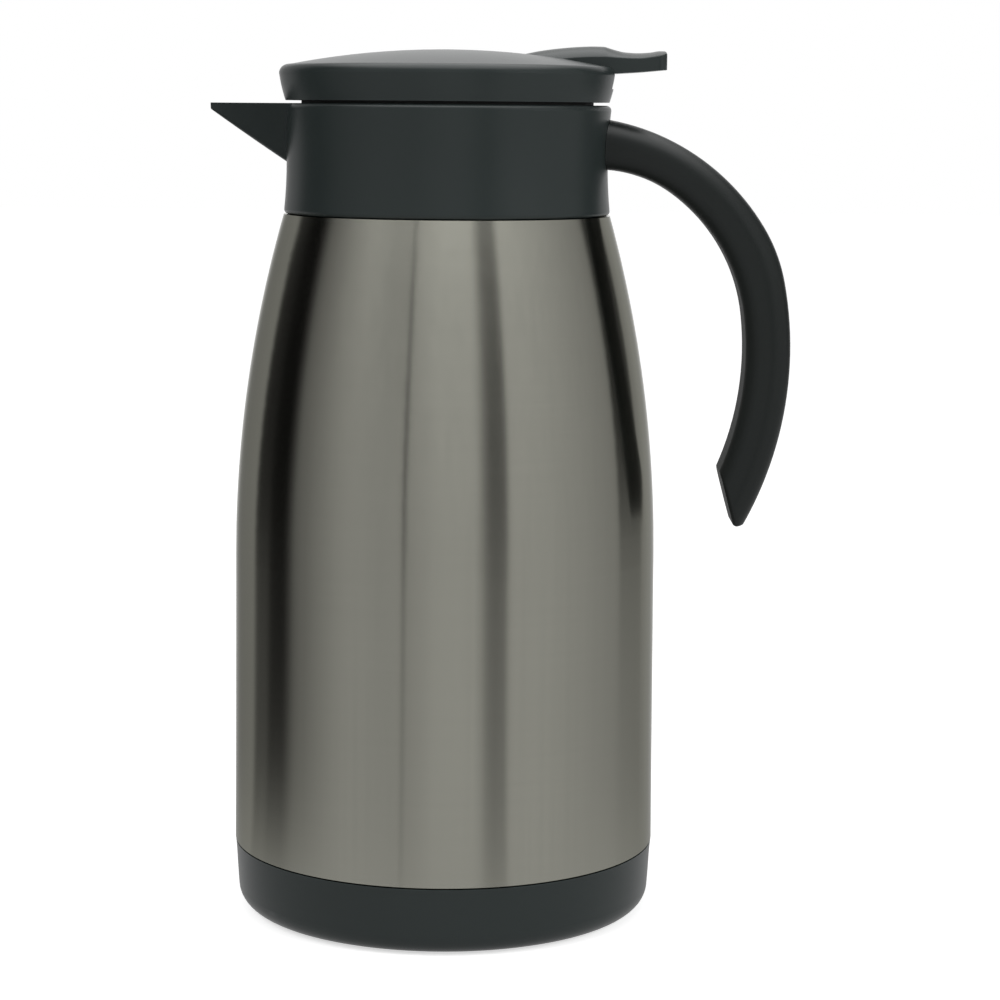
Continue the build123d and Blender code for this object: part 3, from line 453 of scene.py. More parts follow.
def placed(n, group, **values):
    """A group node with its own values. Underscores in the names stand for spaces."""
    node = n.add("ShaderNodeGroup", node_tree=group)
    for name, value in values.items():
        n.feed(node.inputs[name.replace("_", " ")], value)
    return node.outputs


def bump(n, height, strength, distance):
    """The normal that a height gives."""
    node = n.add("ShaderNodeBump")
    node.inputs["Strength"].default_value = strength
    node.inputs["Distance"].default_value = distance
    n.join(height, node.inputs["Height"])
    return node.outputs[0]


def blank_material(name):
    """An empty node material and its helper."""
    material = bpy.data.materials.new(name)
    material.use_nodes = True
    material.node_tree.nodes.clear()
    return material, Nodes(material.node_tree)


def rgba(value):
    """A colour setting with full alpha."""
    return (*value, 1.0)


# ---- finishes ------------------------------------------------------------------------------------
def brushed_steel(name, tint, roughness, line_pitch, *, contrast, anisotropy, depth):
    """Steel brushed round its axis, so that reflections are drawn out upwards."""
    grazing_tint = (0.6, 0.6, 0.58)
    across_the_lines = 0.25
    relief = 0.12
    material, n = blank_material(name)
    brushing = placed(
        n,
        group_named("brushed lines", build_brushing),
        Tint=rgba(tint),
        Roughness=roughness,
        Line_Pitch=line_pitch,
        Contrast=contrast,
    )
    shader = finished(
        material,
        n,
        {
            "Metallic": 1.0,
            "Specular Tint": rgba(grazing_tint),
            "Anisotropic": anisotropy,
            "Anisotropic Rotation": across_the_lines,
        },
        {
            "Base Color": brushing["Colour"],
            "Roughness": brushing["Roughness"],
            "Normal": bump(n, brushing["Height"], relief, depth),
        },
    )
    around = n.add("ShaderNodeTangent", direction_type="RADIAL", axis="Z")
    n.join(around.outputs[0], shader.inputs["Tangent"])
    return material


def palm_side(n, roughness, palm_roughness):
    """A roughness that rises on the side that faces the body, where the fingers go."""
    turning, turned = -0.35, -0.75
    parts = n.add("ShaderNodeSeparateXYZ")
    n.join(n.add("ShaderNodeTexCoord").outputs["Normal"], parts.inputs[0])
    facing = n.smooth(parts.outputs["X"], turning, turned)
    mix = n.add("ShaderNodeMix", data_type="FLOAT")
    n.join(facing, mix.inputs["Factor"])
    n.join(roughness, mix.inputs["A"])
    mix.inputs["B"].default_value = palm_roughness
    return mix.outputs["Result"]


def moulded_plastic(
    name,
    plastic,
    tint,
    roughness,
    *,
    grain_sizes=1.0,
    patches,
    # Strength of the edge mask: rubbed polish in the roughness and a painted highlight in the
    # colour
    highlight_and_wear,
    specular,
    palm_roughness=None,
):
    """Moulded plastic with fine grain, slightly polished edges and a painted highlight that
    lightens the colour along the edges.
    """
    grain = plastic.grain * grain_sizes
    relief = 0.16
    grain_depth = grain * 0.35
    # Gain of the painted highlight that lightens the colour along the edges
    painted_highlight_gain = 2.4
    edge_polish = 0.3
    material, n = blank_material(name)
    moulding = placed(
        n,
        group_named("moulded grain", build_moulding),
        Tint=rgba(tint),
        Roughness=roughness,
        Grain_Size=grain,
        Patches=patches,
    )
    rub_and_highlight_mask = placed(
        n,
        group_named("rubbed edges with painted highlight", build_edge_wear_and_highlight),
        Width=plastic.highlit_worn_edge,
        Strength=highlight_and_wear,
    )
    edges = rub_and_highlight_mask["Mask"]
    # Painted highlight: the colour is lightened along the edge mask
    lit = n.add("ShaderNodeMix", data_type="RGBA")
    n.join(edges, lit.inputs["Factor"])
    n.join(moulding["Colour"], lit.inputs["A"])
    n.join(n.brightened(moulding["Colour"], painted_highlight_gain), lit.inputs["B"])
    dullness = n.math("MULTIPLY_ADD", edges, -edge_polish, 1.0)
    polish = n.math("MULTIPLY", moulding["Roughness"], dullness)
    if palm_roughness:
        polish = palm_side(n, polish, palm_roughness)
    finished(
        material,
        n,
        {"Specular IOR Level": specular},
        {
            "Base Color": lit.outputs["Result"],
            "Roughness": polish,
            "Normal": bump(n, moulding["Height"], relief, grain_depth),
        },
    )
    return material


def slate_plastic(plastic):
    """The outer plastic of the collar, lid, lever and base."""
    name = "slate plastic"
    if name in bpy.data.materials:
        return bpy.data.materials[name]
    return moulded_plastic(
        name,
        plastic,
        plastic.slate,
        plastic.slate_roughness,
        patches=0.10,
        highlight_and_wear=0.55,
        specular=0.32,
    )


def turned_metal(hardware):
    """The bright metal of pins, clips, screws and the spring."""
    name = "turned stainless"
    if name in bpy.data.materials:
        return bpy.data.materials[name]
    return brushed_steel(
        name,
        hardware.metal,
        hardware.metal_roughness,
        hardware.turning_pitch,
        contrast=0.2,
        anisotropy=0.3,
        depth=0.00002,
    )


def dress(nodes, material):
    """Gives CAD nodes a material."""
    for name in nodes:
        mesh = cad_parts[name].data
        mesh.materials.clear()
        mesh.materials.append(material)


class CARAFE_OT_steel(bpy.types.Operator):
    """Brush the outer shell and finish the flask inside it"""

    bl_idname = "carafe.steel"
    bl_label = "Steel"

    def execute(self, context):
        s = context.scene.carafe_steel
        satin = brushed_steel(
            "satin steel",
            s.body,
            s.body_roughness,
            s.line_pitch,
            contrast=0.10,
            anisotropy=1.0,
            depth=0.00002,
        )
        drawn = brushed_steel(
            "drawn steel",
            s.flask,
            s.flask_roughness,
            s.line_pitch * 3,
            contrast=0.16,
            anisotropy=0.4,
            depth=0.00004,
        )
        getter = brushed_steel(
            "getter steel",
            s.flask,
            s.getter_roughness,
            s.line_pitch,
            contrast=0.3,
            anisotropy=0.0,
            depth=0.00005,
        )
        bead = brushed_steel(
            "fused bead",
            s.body,
            s.bead_roughness,
            s.line_pitch * 5,
            contrast=0.3,
            anisotropy=0.0,
            depth=0.0001,
        )
        dress(STEEL, satin)
        dress(FLASK, drawn)
        dress(GETTER, getter)
        dress(BEAD, bead)
        return {"FINISHED"}


class CARAFE_OT_plastic(bpy.types.Operator):
    """Mould the collar, lid, lever, handle and base, and the pieces of the mouth and the stopper"""

    bl_idname = "carafe.plastic"
    bl_label = "Plastic"

    def execute(self, context):
        p = context.scene.carafe_plastic
        slate = slate_plastic(p)
        grip = moulded_plastic(
            "grip plastic",
            p,
            p.grip,
            p.grip_roughness,
            patches=0.10,
            highlight_and_wear=0.4,
            specular=0.27,
            palm_roughness=p.palm_roughness,
        )
        inner = moulded_plastic(
            "food plastic",
            p,
            p.inner,
            p.inner_roughness,
            grain_sizes=1.5,
            patches=0.14,
            highlight_and_wear=0.3,
            specular=0.5,
        )
        dress(SLATE_PLASTIC, slate)
        dress(HANDLE_PLASTIC, grip)
        dress(FOOD_PLASTIC, inner)
        return {"FINISHED"}


class CARAFE_OT_silicone(bpy.types.Operator):
    """Cast the seals, the gaskets and the foot ring"""

    bl_idname = "carafe.silicone"
    bl_label = "Silicone"

    def execute(self, context):
        p = context.scene.carafe_plastic
        rubber = moulded_plastic(
            "silicone",
            p,
            p.silicone,
            p.silicone_roughness,
            grain_sizes=2,
            patches=0.25,
            highlight_and_wear=0.2,
            specular=0.35,
        )
        dress(SILICONE, rubber)
        return {"FINISHED"}


class CARAFE_OT_small_metal(bpy.types.Operator):
    """Turn the lever's pin and the stem's clip"""

    bl_idname = "carafe.small_metal"
    bl_label = "Pin and clip"

    def execute(self, context):
        dress(SMALL_METAL, turned_metal(context.scene.carafe_hardware))
        return {"FINISHED"}


# ---- made pieces ---------------------------------------------------------------------------------
def piece(name, shape, material, body, slot, *nodes):
    """A new piece from a bmesh, riding on a body in place of CAD nodes."""
    mesh = bpy.data.meshes.new(name)
    bmesh.ops.recalc_face_normals(shape, faces=shape.faces)
    shape.to_mesh(mesh)
    shape.free()
    mesh.materials.append(material)
    made = bpy.data.objects.new(name, mesh)
    bpy.context.scene.collection.objects.link(made)
    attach(made, body)
    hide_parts(*nodes)
    return made


def loft_rings(shape, rings):
    """Skins a list of point rings and caps both ends."""
    rows = [[shape.verts.new(point) for point in ring] for ring in rings]
    count = len(rings[0])
    for low, high in zip(rows, rows[1:]):
        for i in range(count):
            j = (i + 1) % count
            shape.faces.new((low[i], low[j], high[j], high[i]))
    shape.faces.new(rows[0][::-1])
    shape.faces.new(rows[-1])


class CARAFE_OT_spring(bpy.types.Operator):
    """Wind the valve spring, with its end turns closed"""

    bl_idname = "carafe.spring"
    bl_label = "Valve spring"

    def execute(self, context):
        h = context.scene.carafe_hardware
        end_turns = 1.0
        turns = h.spring_turns + 2 * end_turns
        steps_per_turn = 40
        sides = 10
        closed_gap = 1.04
        coil_r = spring_high.x - h.wire
        low = spring_low.z + h.wire
        high = spring_high.z - h.wire
        end_rise = 2 * h.wire * closed_gap
        open_pitch = (high - low - 2 * end_turns * end_rise) / h.spring_turns

        def height(turn):
            """Height of the wire's middle after some turns."""
            first = min(turn, end_turns)
            last = max(0.0, turn - end_turns - h.spring_turns)
            middle = turn - first - last
            return low + (first + last) * end_rise + middle * open_pitch

        rings = []
        steps = int(turns * steps_per_turn)
        for step in range(steps + 1):
            turn = turns * step / steps
            angle = 2 * pi * turn
            outward = Vector((cos(angle), sin(angle), 0.0))
            middle = outward * coil_r + Vector((0, 0, height(turn)))
            ring = []
            for side in range(sides):
                lean = 2 * pi * side / sides
                ring.append(middle + h.wire * (outward * cos(lean) + Vector((0, 0, sin(lean)))))
            rings.append(ring)
        shape = bmesh.new()
        loft_rings(shape, rings)
        metal = turned_metal(h)
        made = piece("valve_spring_coil", shape, metal, "lid", "spring_steel", "valve_spring")
        for face in made.data.polygons:
            face.use_smooth = len(face.vertices) == 4
        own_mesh(made)
        return {"FINISHED"}


SCREW_SIDES = 32


def round_ring(radius, z):
    """A level ring of points round the axis."""
    turns = [2 * pi * i / SCREW_SIDES for i in range(SCREW_SIDES)]
    return [Vector((radius * cos(turn), radius * sin(turn), z)) for turn in turns]


def domed_head(head_r, head_h, neck_r):
    """Rings of a pan head, from its crown to the neck below it."""
    dome_h = head_h * 0.6
    steps = 5
    rings = []
    for step in range(1, steps + 1):
        lean = radians(90 * step / steps)
        rings.append(round_ring(head_r * sin(lean), dome_h * (1 - cos(lean))))
    return rings + [round_ring(head_r, head_h), round_ring(neck_r, head_h)]


def countersunk_head(head_r, head_h, neck_r):
    """Rings of a flat head with a broken edge, from its face down its cone."""
    face_r = head_r * 0.97
    broken_edge = head_h * 0.06
    cone_start = head_h * 0.14
    return [
        round_ring(face_r, 0),
        round_ring(head_r, broken_edge),
        round_ring(head_r, cone_start),
        round_ring(neck_r, head_h),
    ]


def threaded_shank(shank_r, start, total, pitch):
    """Rings of a shank whose thread fades in below the head, down to its blunt tip."""
    depth = pitch * 0.32
    steps = 14
    crest_sharpness = 3.2
    shoulder_r = (shank_r - depth) * 0.9
    shoulder_share = 0.3
    point_r = shank_r * 0.25
    count = int((total - start - pitch) / pitch * steps)
    rings = []
    for step in range(count):
        z = start + step * pitch / steps
        fade = min(1.0, (z - start) / pitch)
        points = []
        for i in range(SCREW_SIDES):
            phase = (z / pitch - i / SCREW_SIDES) % 1.0
            crest = max(0.0, 1 - abs(phase - 0.5) * crest_sharpness)
            radius = shank_r - depth * (1 - crest) * fade
            angle = 2 * pi * i / SCREW_SIDES
            points.append(Vector((radius * cos(angle), radius * sin(angle), z)))
        rings.append(points)
    end = start + count * pitch / steps
    rings.append(round_ring(shoulder_r, end + (total - end) * shoulder_share))
    rings.append(round_ring(point_r, total))
    return rings


def screw_rings(shank_r, head_r, head_h, total, pitch, head):
    """Rings of a screw that points along +Z, from its head's face to its tip."""
    neck_r = shank_r * 0.98
    thread_start = head_h * 1.15
    return head(head_r, head_h, neck_r) + threaded_shank(shank_r, thread_start, total, pitch)


def carve(made, shape, operation):
    """Cuts a piece with a shape, or joins the shape to it."""
    mesh = bpy.data.meshes.new("tool")
    bmesh.ops.recalc_face_normals(shape, faces=shape.faces)
    shape.to_mesh(mesh)
    shape.free()
    tool = bpy.data.objects.new("tool", mesh)
    bpy.context.scene.collection.objects.link(tool)
    cut = made.modifiers.new("carve", "BOOLEAN")
    cut.operation = operation
    cut.solver = "EXACT"
    cut.use_self = True
    cut.object = tool
    bpy.context.view_layer.update()
    evaluated = made.evaluated_get(bpy.context.evaluated_depsgraph_get())
    result = bpy.data.meshes.new_from_object(evaluated)
    if not result.polygons:
        raise RuntimeError("carving left nothing of " + made.name)
    made.modifiers.clear()
    made.data = result
    bpy.data.objects.remove(tool)


def cut_cross(made, centres, direction, width, reach, depth):
    """Cuts a cross recess, narrower at its bottom, into each screw head."""
    draw_in = 0.45
    cutter_shape = bmesh.new()
    toward = Vector(direction).normalized()
    turn = toward.to_track_quat("Z", "Y").to_matrix().to_4x4()
    for centre in centres:
        for quarter in (0, 1):
            place = (
                Matrix.Translation(centre)
                @ turn
                @ Matrix.Rotation(pi / 2 * quarter, 4, "Z")
                @ Matrix.Diagonal((reach, width, 2 * depth, 1))
            )
            cube = bmesh.ops.create_cube(cutter_shape, size=1.0, matrix=place)["verts"]
            for vert in cube:
                inward = (vert.co - centre).dot(toward)
                if inward > 0:
                    flat = (vert.co - centre) - toward * inward
                    vert.co -= flat * draw_in
    carve(made, cutter_shape, "DIFFERENCE")


def shade_rounds(made):
    """Smooth shading that keeps sharp edges."""
    sharpest_smooth = radians(38)
    made.data.shade_smooth()
    made.data.set_sharp_from_angle(angle=sharpest_smooth)


# The blade at some shares of its length behind the pin: how far its underside, side edge and crest
# stand above the pin, in metres
Rib = namedtuple("Rib", "share underside edge crest")
LEVER_RIBS = (
    Rib(0.0, -0.0002, 0.0043, 0.0069),
    Rib(0.116, 0.0003, 0.0048, 0.0079),
    Rib(0.256, 0.0007, 0.0054, 0.0087),
    Rib(0.395, 0.0008, 0.00595, 0.0092),
    Rib(0.49, 0.0009, 0.0061, 0.00935),
    Rib(0.56, 0.0010, 0.00615, 0.00928),
    Rib(0.6, 0.0011, 0.0061, 0.0088),
    Rib(0.64, 0.0012, 0.0060, 0.0083),
    Rib(0.71, 0.0014, 0.0059, 0.00765),
    Rib(0.8, 0.00165, 0.00585, 0.00745),
    Rib(0.89, 0.0020, 0.0063, 0.0077),
    Rib(0.95, 0.00225, 0.0067, 0.0081),
    Rib(1.0, 0.00245, 0.0068, 0.0081),
)


def faired(knots, values, at):
    """A smooth curve through values at knots, with no swelling between them."""
    rises = [after - before for before, after in zip(values, values[1:])]
    runs = [after - before for before, after in zip(knots, knots[1:])]
    slopes = [rise / run for rise, run in zip(rises, runs)]
    leans = [slopes[0]]
    for before, after in zip(slopes, slopes[1:]):
        leans.append(0.0 if before * after <= 0 else 2 * before * after / (before + after))
    leans.append(slopes[-1])
    span = max(i for i in range(len(runs)) if knots[i] <= at or i == 0)
    width = runs[span]
    t = (at - knots[span]) / width
    start, end = values[span], values[span + 1]
    bend_start = leans[span] * width
    bend_end = leans[span + 1] * width
    return (
        (2 * t**3 - 3 * t**2 + 1) * start
        + (t**3 - 2 * t**2 + t) * bend_start
        + (3 * t**2 - 2 * t**3) * end
        + (t**3 - t**2) * bend_end
    )


def blade_section(x, half_w, edge_round, end_round):
    """A closed section across the lever's blade: crown, rounded edges and flat underside."""
    crown_steps, edge_steps = 12, 5
    shares, *heights = zip(*LEVER_RIBS)
    share_at = (x - pin.x) / (lever_high.x - pin.x)
    underside, edge, crest = (faired(shares, height, share_at) for height in heights)
    rise = crest - edge
    crown_r = (half_w**2 + rise**2) / (2 * rise)
    past = max(0.0, x - (lever_high.x - end_round))
    side = half_w - end_round + (end_round**2 - past**2) ** 0.5
    tipped = max(0.0, x - (lever_high.x - edge_round))
    drop = edge_round - (edge_round**2 - tipped**2) ** 0.5
    middle_z = pin.z + crest - crown_r - drop
    round_y = side - edge_round
    round_z = middle_z + ((crown_r - edge_round) ** 2 - round_y**2) ** 0.5
    lean = asin(round_y / (crown_r - edge_round))
    half = []
    for step in range(crown_steps + 1):
        angle = lean * step / crown_steps
        half.append((crown_r * sin(angle), middle_z + crown_r * cos(angle)))
    for step in range(1, edge_steps + 1):
        angle = lean + (pi / 2 - lean) * step / edge_steps
        half.append((round_y + edge_round * sin(angle), round_z + edge_round * cos(angle)))
    half.append((side, pin.z + underside))
    left = [Vector((x, -y, z)) for y, z in half[::-1]]
    right = [Vector((x, y, z)) for y, z in half[1:]]
    return left + right


def blade_places(start, end_round):
    """Where the blade's sections stand, closer together round its end."""
    long_steps, round_steps = 84, 16
    plain_end = lever_high.x - end_round
    places = [start]
    for step in range(long_steps + 1):
        places.append(pin.x + (plain_end - pin.x) * step / long_steps)
    for step in range(1, round_steps + 1):
        places.append(plain_end + end_round * sin(pi / 2 * step / round_steps))
    return places


def box_shape(low, high):
    """A box between two corners."""
    shape = bmesh.new()
    middle = Matrix.Translation((low + high) / 2) @ Matrix.Diagonal((*(high - low), 1))
    bmesh.ops.create_cube(shape, size=1.0, matrix=middle)
    return shape


class CARAFE_OT_lever(bpy.types.Operator):
    """Mould the thumb lever, with its crowned blade faired evenly from the pin to its end"""

    bl_idname = "carafe.lever"
    bl_label = "Thumb lever"

    def execute(self, context):
        s = context.scene.carafe_lever
        half_w = lever_high.y
        room = 0.002
        overlap = 0.0002
        hole_sides = 48
        blade_start = pin.x - overlap
        shape = bmesh.new()
        shape.from_mesh(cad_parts["lever"].data)
        material = slate_plastic(context.scene.carafe_plastic)
        made = piece("thumb_lever", shape, material, "lever", "dark_plastic", "lever")

        past_all = Vector((lever_high.x + room, half_w + room, lever_high.z + room))
        behind_pin = Vector((blade_start + overlap / 2, -half_w - room, pin.z))
        above_boss = Vector((pin.x - s.boss, -half_w - room, pin.z + s.boss))
        for low_corner in (behind_pin, above_boss):
            carve(made, box_shape(low_corner, past_all), "DIFFERENCE")

        blade = bmesh.new()
        places = blade_places(blade_start, s.end_round)
        loft_rings(blade, [blade_section(x, half_w, s.edge_round, s.end_round) for x in places])
        carve(made, blade, "UNION")

        # The bore's flats lie just outside the solid's own bore, so that no sliver of it is left
        hole = bmesh.new()
        flat_r = (pin_high.z - pin_low.z) / 2 + s.pin_gap
        hole_r = flat_r / cos(pi / hole_sides)
        bmesh.ops.create_cone(
            hole,
            cap_ends=True,
            segments=hole_sides,
            radius1=hole_r,
            radius2=hole_r,
            depth=3 * half_w,
            matrix=Matrix.Translation(pin) @ Matrix.Rotation(pi / 2, 4, "X"),
        )
        carve(made, hole, "DIFFERENCE")
        shade_rounds(made)
        return {"FINISHED"}


class CARAFE_OT_lid_screws(bpy.types.Operator):
    """Thread the countersunk screws that hold the stopper's plate to the lid"""

    bl_idname = "carafe.lid_screws"
    bl_label = "Lid screws"

    def execute(self, context):
        h = context.scene.carafe_hardware
        first_turn = pi / 3
        recess_depth = h.lid_head_depth * 0.73
        circle_r = -lid_screw_low.x - h.lid_head
        total = lid_screw_high.z - lid_screw_low.z
        rings = screw_rings(
            h.screw,
            h.lid_head,
            h.lid_head_depth,
            total,
            h.thread_pitch,
            countersunk_head,
        )
        shape = bmesh.new()
        centres = []
        for index in range(h.lid_screw_count):
            angle = first_turn + 2 * pi * index / h.lid_screw_count
            centre = Vector((circle_r * cos(angle), circle_r * sin(angle), lid_screw_low.z))
            centres.append(centre)
            loft_rings(shape, [[point + centre for point in ring] for ring in rings])
        made = piece("lid_screw_set", shape, turned_metal(h), "lid", "screw_steel", "lid_screws")
        cut_cross(made, centres, (0, 0, 1), h.cross_width, h.lid_head, recess_depth)
        shade_rounds(made)
        return {"FINISHED"}


class CARAFE_OT_handle_screws(bpy.types.Operator):
    """Thread the pan-head screws that pull the handle against the collar"""

    bl_idname = "carafe.handle_screws"
    bl_label = "Handle screws"

    def execute(self, context):
        h = context.scene.carafe_hardware
        head_r = handle_screw_high.y
        recess_reach = head_r * 1.08
        recess_depth = h.handle_head_depth * 0.65
        total = handle_screw_high.x - handle_screw_low.x
        lie = Matrix.Rotation(pi / 2, 4, "Y")
        rings = screw_rings(
            h.screw,
            head_r,
            h.handle_head_depth,
            total,
            h.thread_pitch,
            domed_head,
        )
        shape = bmesh.new()
        centres = []
        for z in (handle_screw_low.z + head_r, handle_screw_high.z - head_r):
            centre = Vector((handle_screw_low.x, 0.0, z))
            centres.append(centre)
            loft_rings(shape, [[lie @ point + centre for point in ring] for ring in rings])
        metal = turned_metal(h)
        made = piece("handle_screw_pair", shape, metal, "carafe", "screw_steel", "handle_screws")
        cut_cross(made, centres, (1, 0, 0), h.cross_width, recess_reach, recess_depth)
        shade_rounds(made)
        return {"FINISHED"}


# ---- studio --------------------------------------------------------------------------------------
# Cards round the set that only reflections show: bearings in degrees where each starts and ends,
# counted from the front and positive towards +X, the softness of both ends, its darkness, and the
# slope at which it starts, with its softness. A card that starts at UNDER reaches all the way down
UNDER = -9.0
Card = namedtuple("Card", "name start start_soft end end_soft darkness low low_soft")
CARDS = (
    Card("left flag", -124.0, 2.0, -92.0, 6.0, 0.84, -0.165, 0.01),
    Card("left flag's foot", -111.0, 4.0, -92.0, 6.0, 0.84, UNDER, 0.01),
    Card("left flag's side", -125.0, 3.0, -111.0, 4.0, 0.35, UNDER, 0.01),
    Card("left flag's shade", -125.0, 3.0, -68.0, 30.0, 0.68, UNDER, 0.01),
    Card("window bar", -50.0, 16.0, -9.0, 8.0, 0.17, UNDER, 0.01),
    Card("window frame", -42.0, 12.0, -20.5, 1.2, 0.30, 0.25, 0.25),
    Card("window cord", -21.9, 0.4, -19.8, 0.4, 0.80, -0.165, 0.03),
    Card("window cord's foot", -22.3, 0.6, -19.4, 0.6, 0.16, UNDER, 0.01),
    Card("camera stand", 22.0, 5.0, 35.5, 2.0, 0.70, -0.165, 0.03),
    Card("camera stand's foot", 22.0, 5.0, 34.5, 2.0, 0.46, UNDER, 0.01),
    Card("right shade", 84.0, 42.0, 142.0, 10.0, 0.26, UNDER, 0.01),
    Card("right shade's top", 84.0, 42.0, 142.0, 10.0, 0.14, -0.165, 0.01),
    Card("right flag", 110.5, 2.0, 136.0, 2.0, 0.88, -0.125, 0.01),
    Card("left back", -158.0, 8.0, -124.0, 2.0, 0.34, UNDER, 0.01),
)


def build_surround(name):
    """How bright the set is towards a bearing and a slope."""
    group = new_group(
        name,
        (
            ("Bearing", FLOAT, 0.0),
            ("Slope", FLOAT, 0.0),
            ("Front Level", FLOAT, 0.6),
            ("Overhead", FLOAT, 1.0),
        ),
        (("Level", FLOAT),),
    )
    backdrop_from, backdrop_full = 156.0, 178.0
    foot_slope, top_slope, top_gain = -0.14, 0.4, 1.05
    roof_from, roof_full = 0.6, 0.95
    n = Nodes(group)
    given = n.add("NodeGroupInput").outputs
    made = n.add("NodeGroupOutput").inputs
    bearing, slope = given["Bearing"], given["Slope"]
    behind = n.smooth(n.math("ABSOLUTE", bearing), backdrop_from, backdrop_full)
    rise = n.smooth(slope, foot_slope, top_slope, 1.0, top_gain)
    level = n.math("MULTIPLY", given["Front Level"], rise)
    for card in CARDS:
        after = n.smooth(bearing, card.start - card.start_soft, card.start + card.start_soft)
        before = n.smooth(bearing, card.end + card.end_soft, card.end - card.end_soft)
        above = n.smooth(slope, card.low - card.low_soft, card.low + card.low_soft)
        within = n.math("MULTIPLY", after, before)
        dark = n.math("MULTIPLY", within, n.math("MULTIPLY", above, card.darkness))
        level = n.math("MULTIPLY", level, n.math("SUBTRACT", 1.0, dark))
    roof = n.smooth(slope, roof_from, roof_full)
    for chosen, brightness in ((behind, 1.0), (roof, given["Overhead"])):
        mix = n.add("ShaderNodeMix", data_type="FLOAT")
        n.join(chosen, mix.inputs["Factor"])
        n.join(level, mix.inputs["A"])
        n.feed(mix.inputs["B"], brightness)
        level = mix.outputs["Result"]
    n.join(level, made["Level"])
    return group


def bearing_of(n, vector):
    """Degrees round from the front, and the vector's parts."""
    parts = n.add("ShaderNodeSeparateXYZ")
    n.join(vector, parts.inputs[0])
    turn = n.math("ARCTAN2", parts.outputs["X"], n.math("MULTIPLY", parts.outputs["Y"], -1.0))
    return n.math("DEGREES", turn), parts.outputs


def floor_material(studio):
    """Pale floor: white where the camera sees it lit, with the object's shadow kept.

    In reflections it carries the cards on, as the middle of the shell's near side would see them.
    """
    material, n = blank_material("pale floor")
    diffuse = n.add("ShaderNodeBsdfDiffuse")
    diffuse.inputs["Color"].default_value = rgba(studio.floor)
    place = n.add("ShaderNodeTexCoord").outputs["Object"]
    bearing, _ = bearing_of(n, place)
    distance = n.add("ShaderNodeVectorMath", operation="LENGTH")
    n.join(place, distance.inputs[0])
    away = distance.outputs["Value"]
    half_turn = n.math("MULTIPLY", bearing, radians(0.5))
    lean = n.math("DIVIDE", n.math("SINE", half_turn), away)
    surround = placed(
        n,
        group_named("surround", build_surround),
        Bearing=n.math("MULTIPLY_ADD", lean, degrees(body_r), bearing),
        Slope=n.math("DIVIDE", -0.5 * cad_high.z, away),
        Front_Level=studio.front,
    )
    near = n.smooth(away, studio.shade_reach, body_r)
    mirrored = n.add("ShaderNodeMix", data_type="FLOAT")
    n.join(near, mirrored.inputs["Factor"])
    n.join(surround["Level"], mirrored.inputs["A"])
    mirrored.inputs["B"].default_value = studio.front
    shown = n.add("ShaderNodeEmission")
    n.join(mirrored.outputs["Result"], shown.inputs["Color"])
    lift = n.add("ShaderNodeEmission")
    lift.inputs["Strength"].default_value = studio.lift
    lit = n.add("ShaderNodeAddShader")
    n.join(diffuse.outputs[0], lit.inputs[0])
    n.join(lift.outputs[0], lit.inputs[1])
    path = n.add("ShaderNodeLightPath").outputs
    reflected = n.math("MAXIMUM", path["Is Glossy Ray"], path["Is Transmission Ray"])
    shaders = diffuse.outputs[0]
    for chosen, shader in ((reflected, shown.outputs[0]), (path["Is Camera Ray"], lit.outputs[0])):
        mix = n.add("ShaderNodeMixShader")
        n.join(chosen, mix.inputs[0])
        n.join(shaders, mix.inputs[1])
        n.join(shader, mix.inputs[2])
        shaders = mix.outputs[0]
    under = n.add("ShaderNodeMixShader")
    n.join(n.add("ShaderNodeNewGeometry").outputs["Backfacing"], under.inputs[0])
    n.join(shaders, under.inputs[1])
    n.join(n.add("ShaderNodeBsdfTransparent").outputs[0], under.inputs[2])
    n.join(under.outputs[0], n.add("ShaderNodeOutputMaterial").inputs["Surface"])
    return material


def studio_world(studio):
    """White backdrop for the camera, cards for reflections, and soft light from all round."""
    world = bpy.data.worlds.new("studio")
    world.use_nodes = True
    world.node_tree.nodes.clear()
    n = Nodes(world.node_tree)
    bearing, parts = bearing_of(n, n.add("ShaderNodeTexCoord").outputs["Generated"])
    surround = placed(
        n,
        group_named("surround", build_surround),
        Bearing=bearing,
        Slope=parts["Z"],
        Front_Level=studio.front,
        Overhead=studio.overhead,
    )
    path = n.add("ShaderNodeLightPath").outputs
    reflected = n.math("MAXIMUM", path["Is Glossy Ray"], path["Is Transmission Ray"])
    level = studio.ambient
    for chosen, value in ((reflected, surround["Level"]), (path["Is Camera Ray"], 1.0)):
        mix = n.add("ShaderNodeMix", data_type="FLOAT")
        n.join(chosen, mix.inputs["Factor"])
        n.feed(mix.inputs["A"], level)
        n.feed(mix.inputs["B"], value)
        level = mix.outputs["Result"]
    backdrop = n.add("ShaderNodeBackground")
    n.join(level, backdrop.inputs["Color"])
    n.join(backdrop.outputs[0], n.add("ShaderNodeOutputWorld").inputs["Surface"])
    bpy.context.scene.world = world


def softbox(name, place, target, size, power):
    """A square area light that points at a target and stays out of reflections."""
    data = bpy.data.lights.new(name, "AREA")
    data.size = size
    data.energy = power
    light = bpy.data.objects.new(name, data)
    bpy.context.scene.collection.objects.link(light)
    light.location = place
    light.rotation_euler = (Vector(target) - Vector(place)).to_track_quat("-Z", "Y").to_euler()
    light.visible_glossy = False


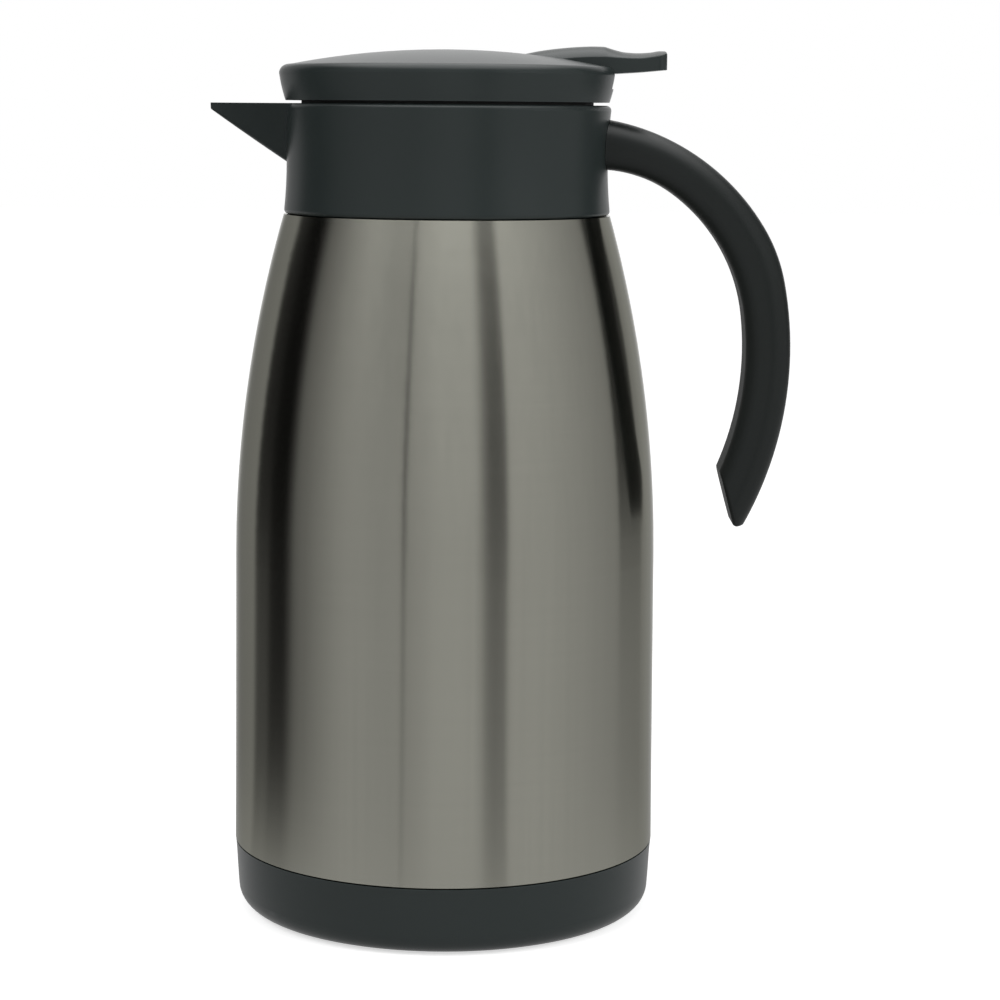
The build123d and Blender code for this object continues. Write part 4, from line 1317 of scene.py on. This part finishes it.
class CARAFE_OT_studio(bpy.types.Operator):
    """Set up the floor, the backdrop, the softboxes and the camera"""

    bl_idname = "carafe.studio"
    bl_label = "Studio"

    def execute(self, context):
        s = context.scene.carafe_studio
        half = s.floor_size / 2
        corners = [(-half, -half, 0), (half, -half, 0), (half, half, 0), (-half, half, 0)]
        mesh = bpy.data.meshes.new("floor")
        mesh.from_pydata(corners, [], [(0, 1, 2, 3)])
        mesh.materials.append(floor_material(s))
        floor = bpy.data.objects.new("floor", mesh)
        context.scene.collection.objects.link(floor)
        studio_world(s)

        middle = (cad_low + cad_high) / 2
        left_of_camera = (-0.9, -0.9, 1.1)
        right_of_camera = (1.1, -0.7, 0.7)
        softbox("key softbox", left_of_camera, middle, s.key_size, s.key)
        softbox("fill softbox", right_of_camera, middle, s.fill_size, s.fill)

        lens = bpy.data.cameras.new("camera")
        lens.lens = s.lens
        lens.sensor_width = 36.0
        camera = bpy.data.objects.new("camera", lens)
        context.scene.collection.objects.link(camera)
        look = Matrix.Rotation(pi / 2 - s.camera_drop, 4, "X")
        roll = Matrix.Rotation(s.camera_roll, 4, "Z")
        camera.matrix_world = Matrix.Translation(s.camera_place) @ look @ roll
        context.scene.camera = camera
        context.scene.view_settings.view_transform = "Standard"
        return {"FINISHED"}


class CARAFE_PT_panel(bpy.types.Panel):
    """Lists the carafe's finishes, pieces and studio"""

    bl_idname = "CARAFE_PT_panel"
    bl_label = "Vacuum carafe"
    bl_space_type = "VIEW_3D"
    bl_region_type = "UI"
    bl_category = "Carafe"

    def draw(self, context):
        for group, operators in PANEL_ROWS:
            box = self.layout.box()
            settings = getattr(context.scene, group)
            for name in settings.__annotations__:
                box.prop(settings, name)
            for operator in operators:
                box.operator(operator)


HARDWARE_OPERATORS = (
    "carafe.small_metal",
    "carafe.spring",
    "carafe.lid_screws",
    "carafe.handle_screws",
)
PANEL_ROWS = (
    ("carafe_steel", ("carafe.steel",)),
    ("carafe_plastic", ("carafe.plastic", "carafe.silicone")),
    ("carafe_lever", ("carafe.lever",)),
    ("carafe_hardware", HARDWARE_OPERATORS),
    ("carafe_studio", ("carafe.studio",)),
)

SETTINGS = {
    "carafe_steel": CarafeSteel,
    "carafe_plastic": CarafePlastic,
    "carafe_lever": CarafeLever,
    "carafe_hardware": CarafeHardware,
    "carafe_studio": CarafeStudio,
}

CLASSES = (
    *SETTINGS.values(),
    CARAFE_OT_steel,
    CARAFE_OT_plastic,
    CARAFE_OT_silicone,
    CARAFE_OT_lever,
    CARAFE_OT_small_metal,
    CARAFE_OT_spring,
    CARAFE_OT_lid_screws,
    CARAFE_OT_handle_screws,
    CARAFE_OT_studio,
    CARAFE_PT_panel,
)


def register():
    """Registers the classes and adds the settings to the scene."""
    for cls in CLASSES:
        bpy.utils.register_class(cls)
    for name, settings in SETTINGS.items():
        setattr(bpy.types.Scene, name, PointerProperty(type=settings))


def unregister():
    """Takes the settings and the classes away."""
    for name in SETTINGS:
        delattr(bpy.types.Scene, name)
    for cls in reversed(CLASSES):
        bpy.utils.unregister_class(cls)


def main():
    """Builds the studio and dresses the carafe, piece by piece."""
    register()
    bpy.ops.carafe.studio()
    bpy.ops.carafe.steel()
    bpy.ops.carafe.plastic()
    bpy.ops.carafe.silicone()
    bpy.ops.carafe.lever()
    bpy.ops.carafe.small_metal()
    bpy.ops.carafe.spring()
    bpy.ops.carafe.lid_screws()
    bpy.ops.carafe.handle_screws()


if __name__ == "__main__":
    main()
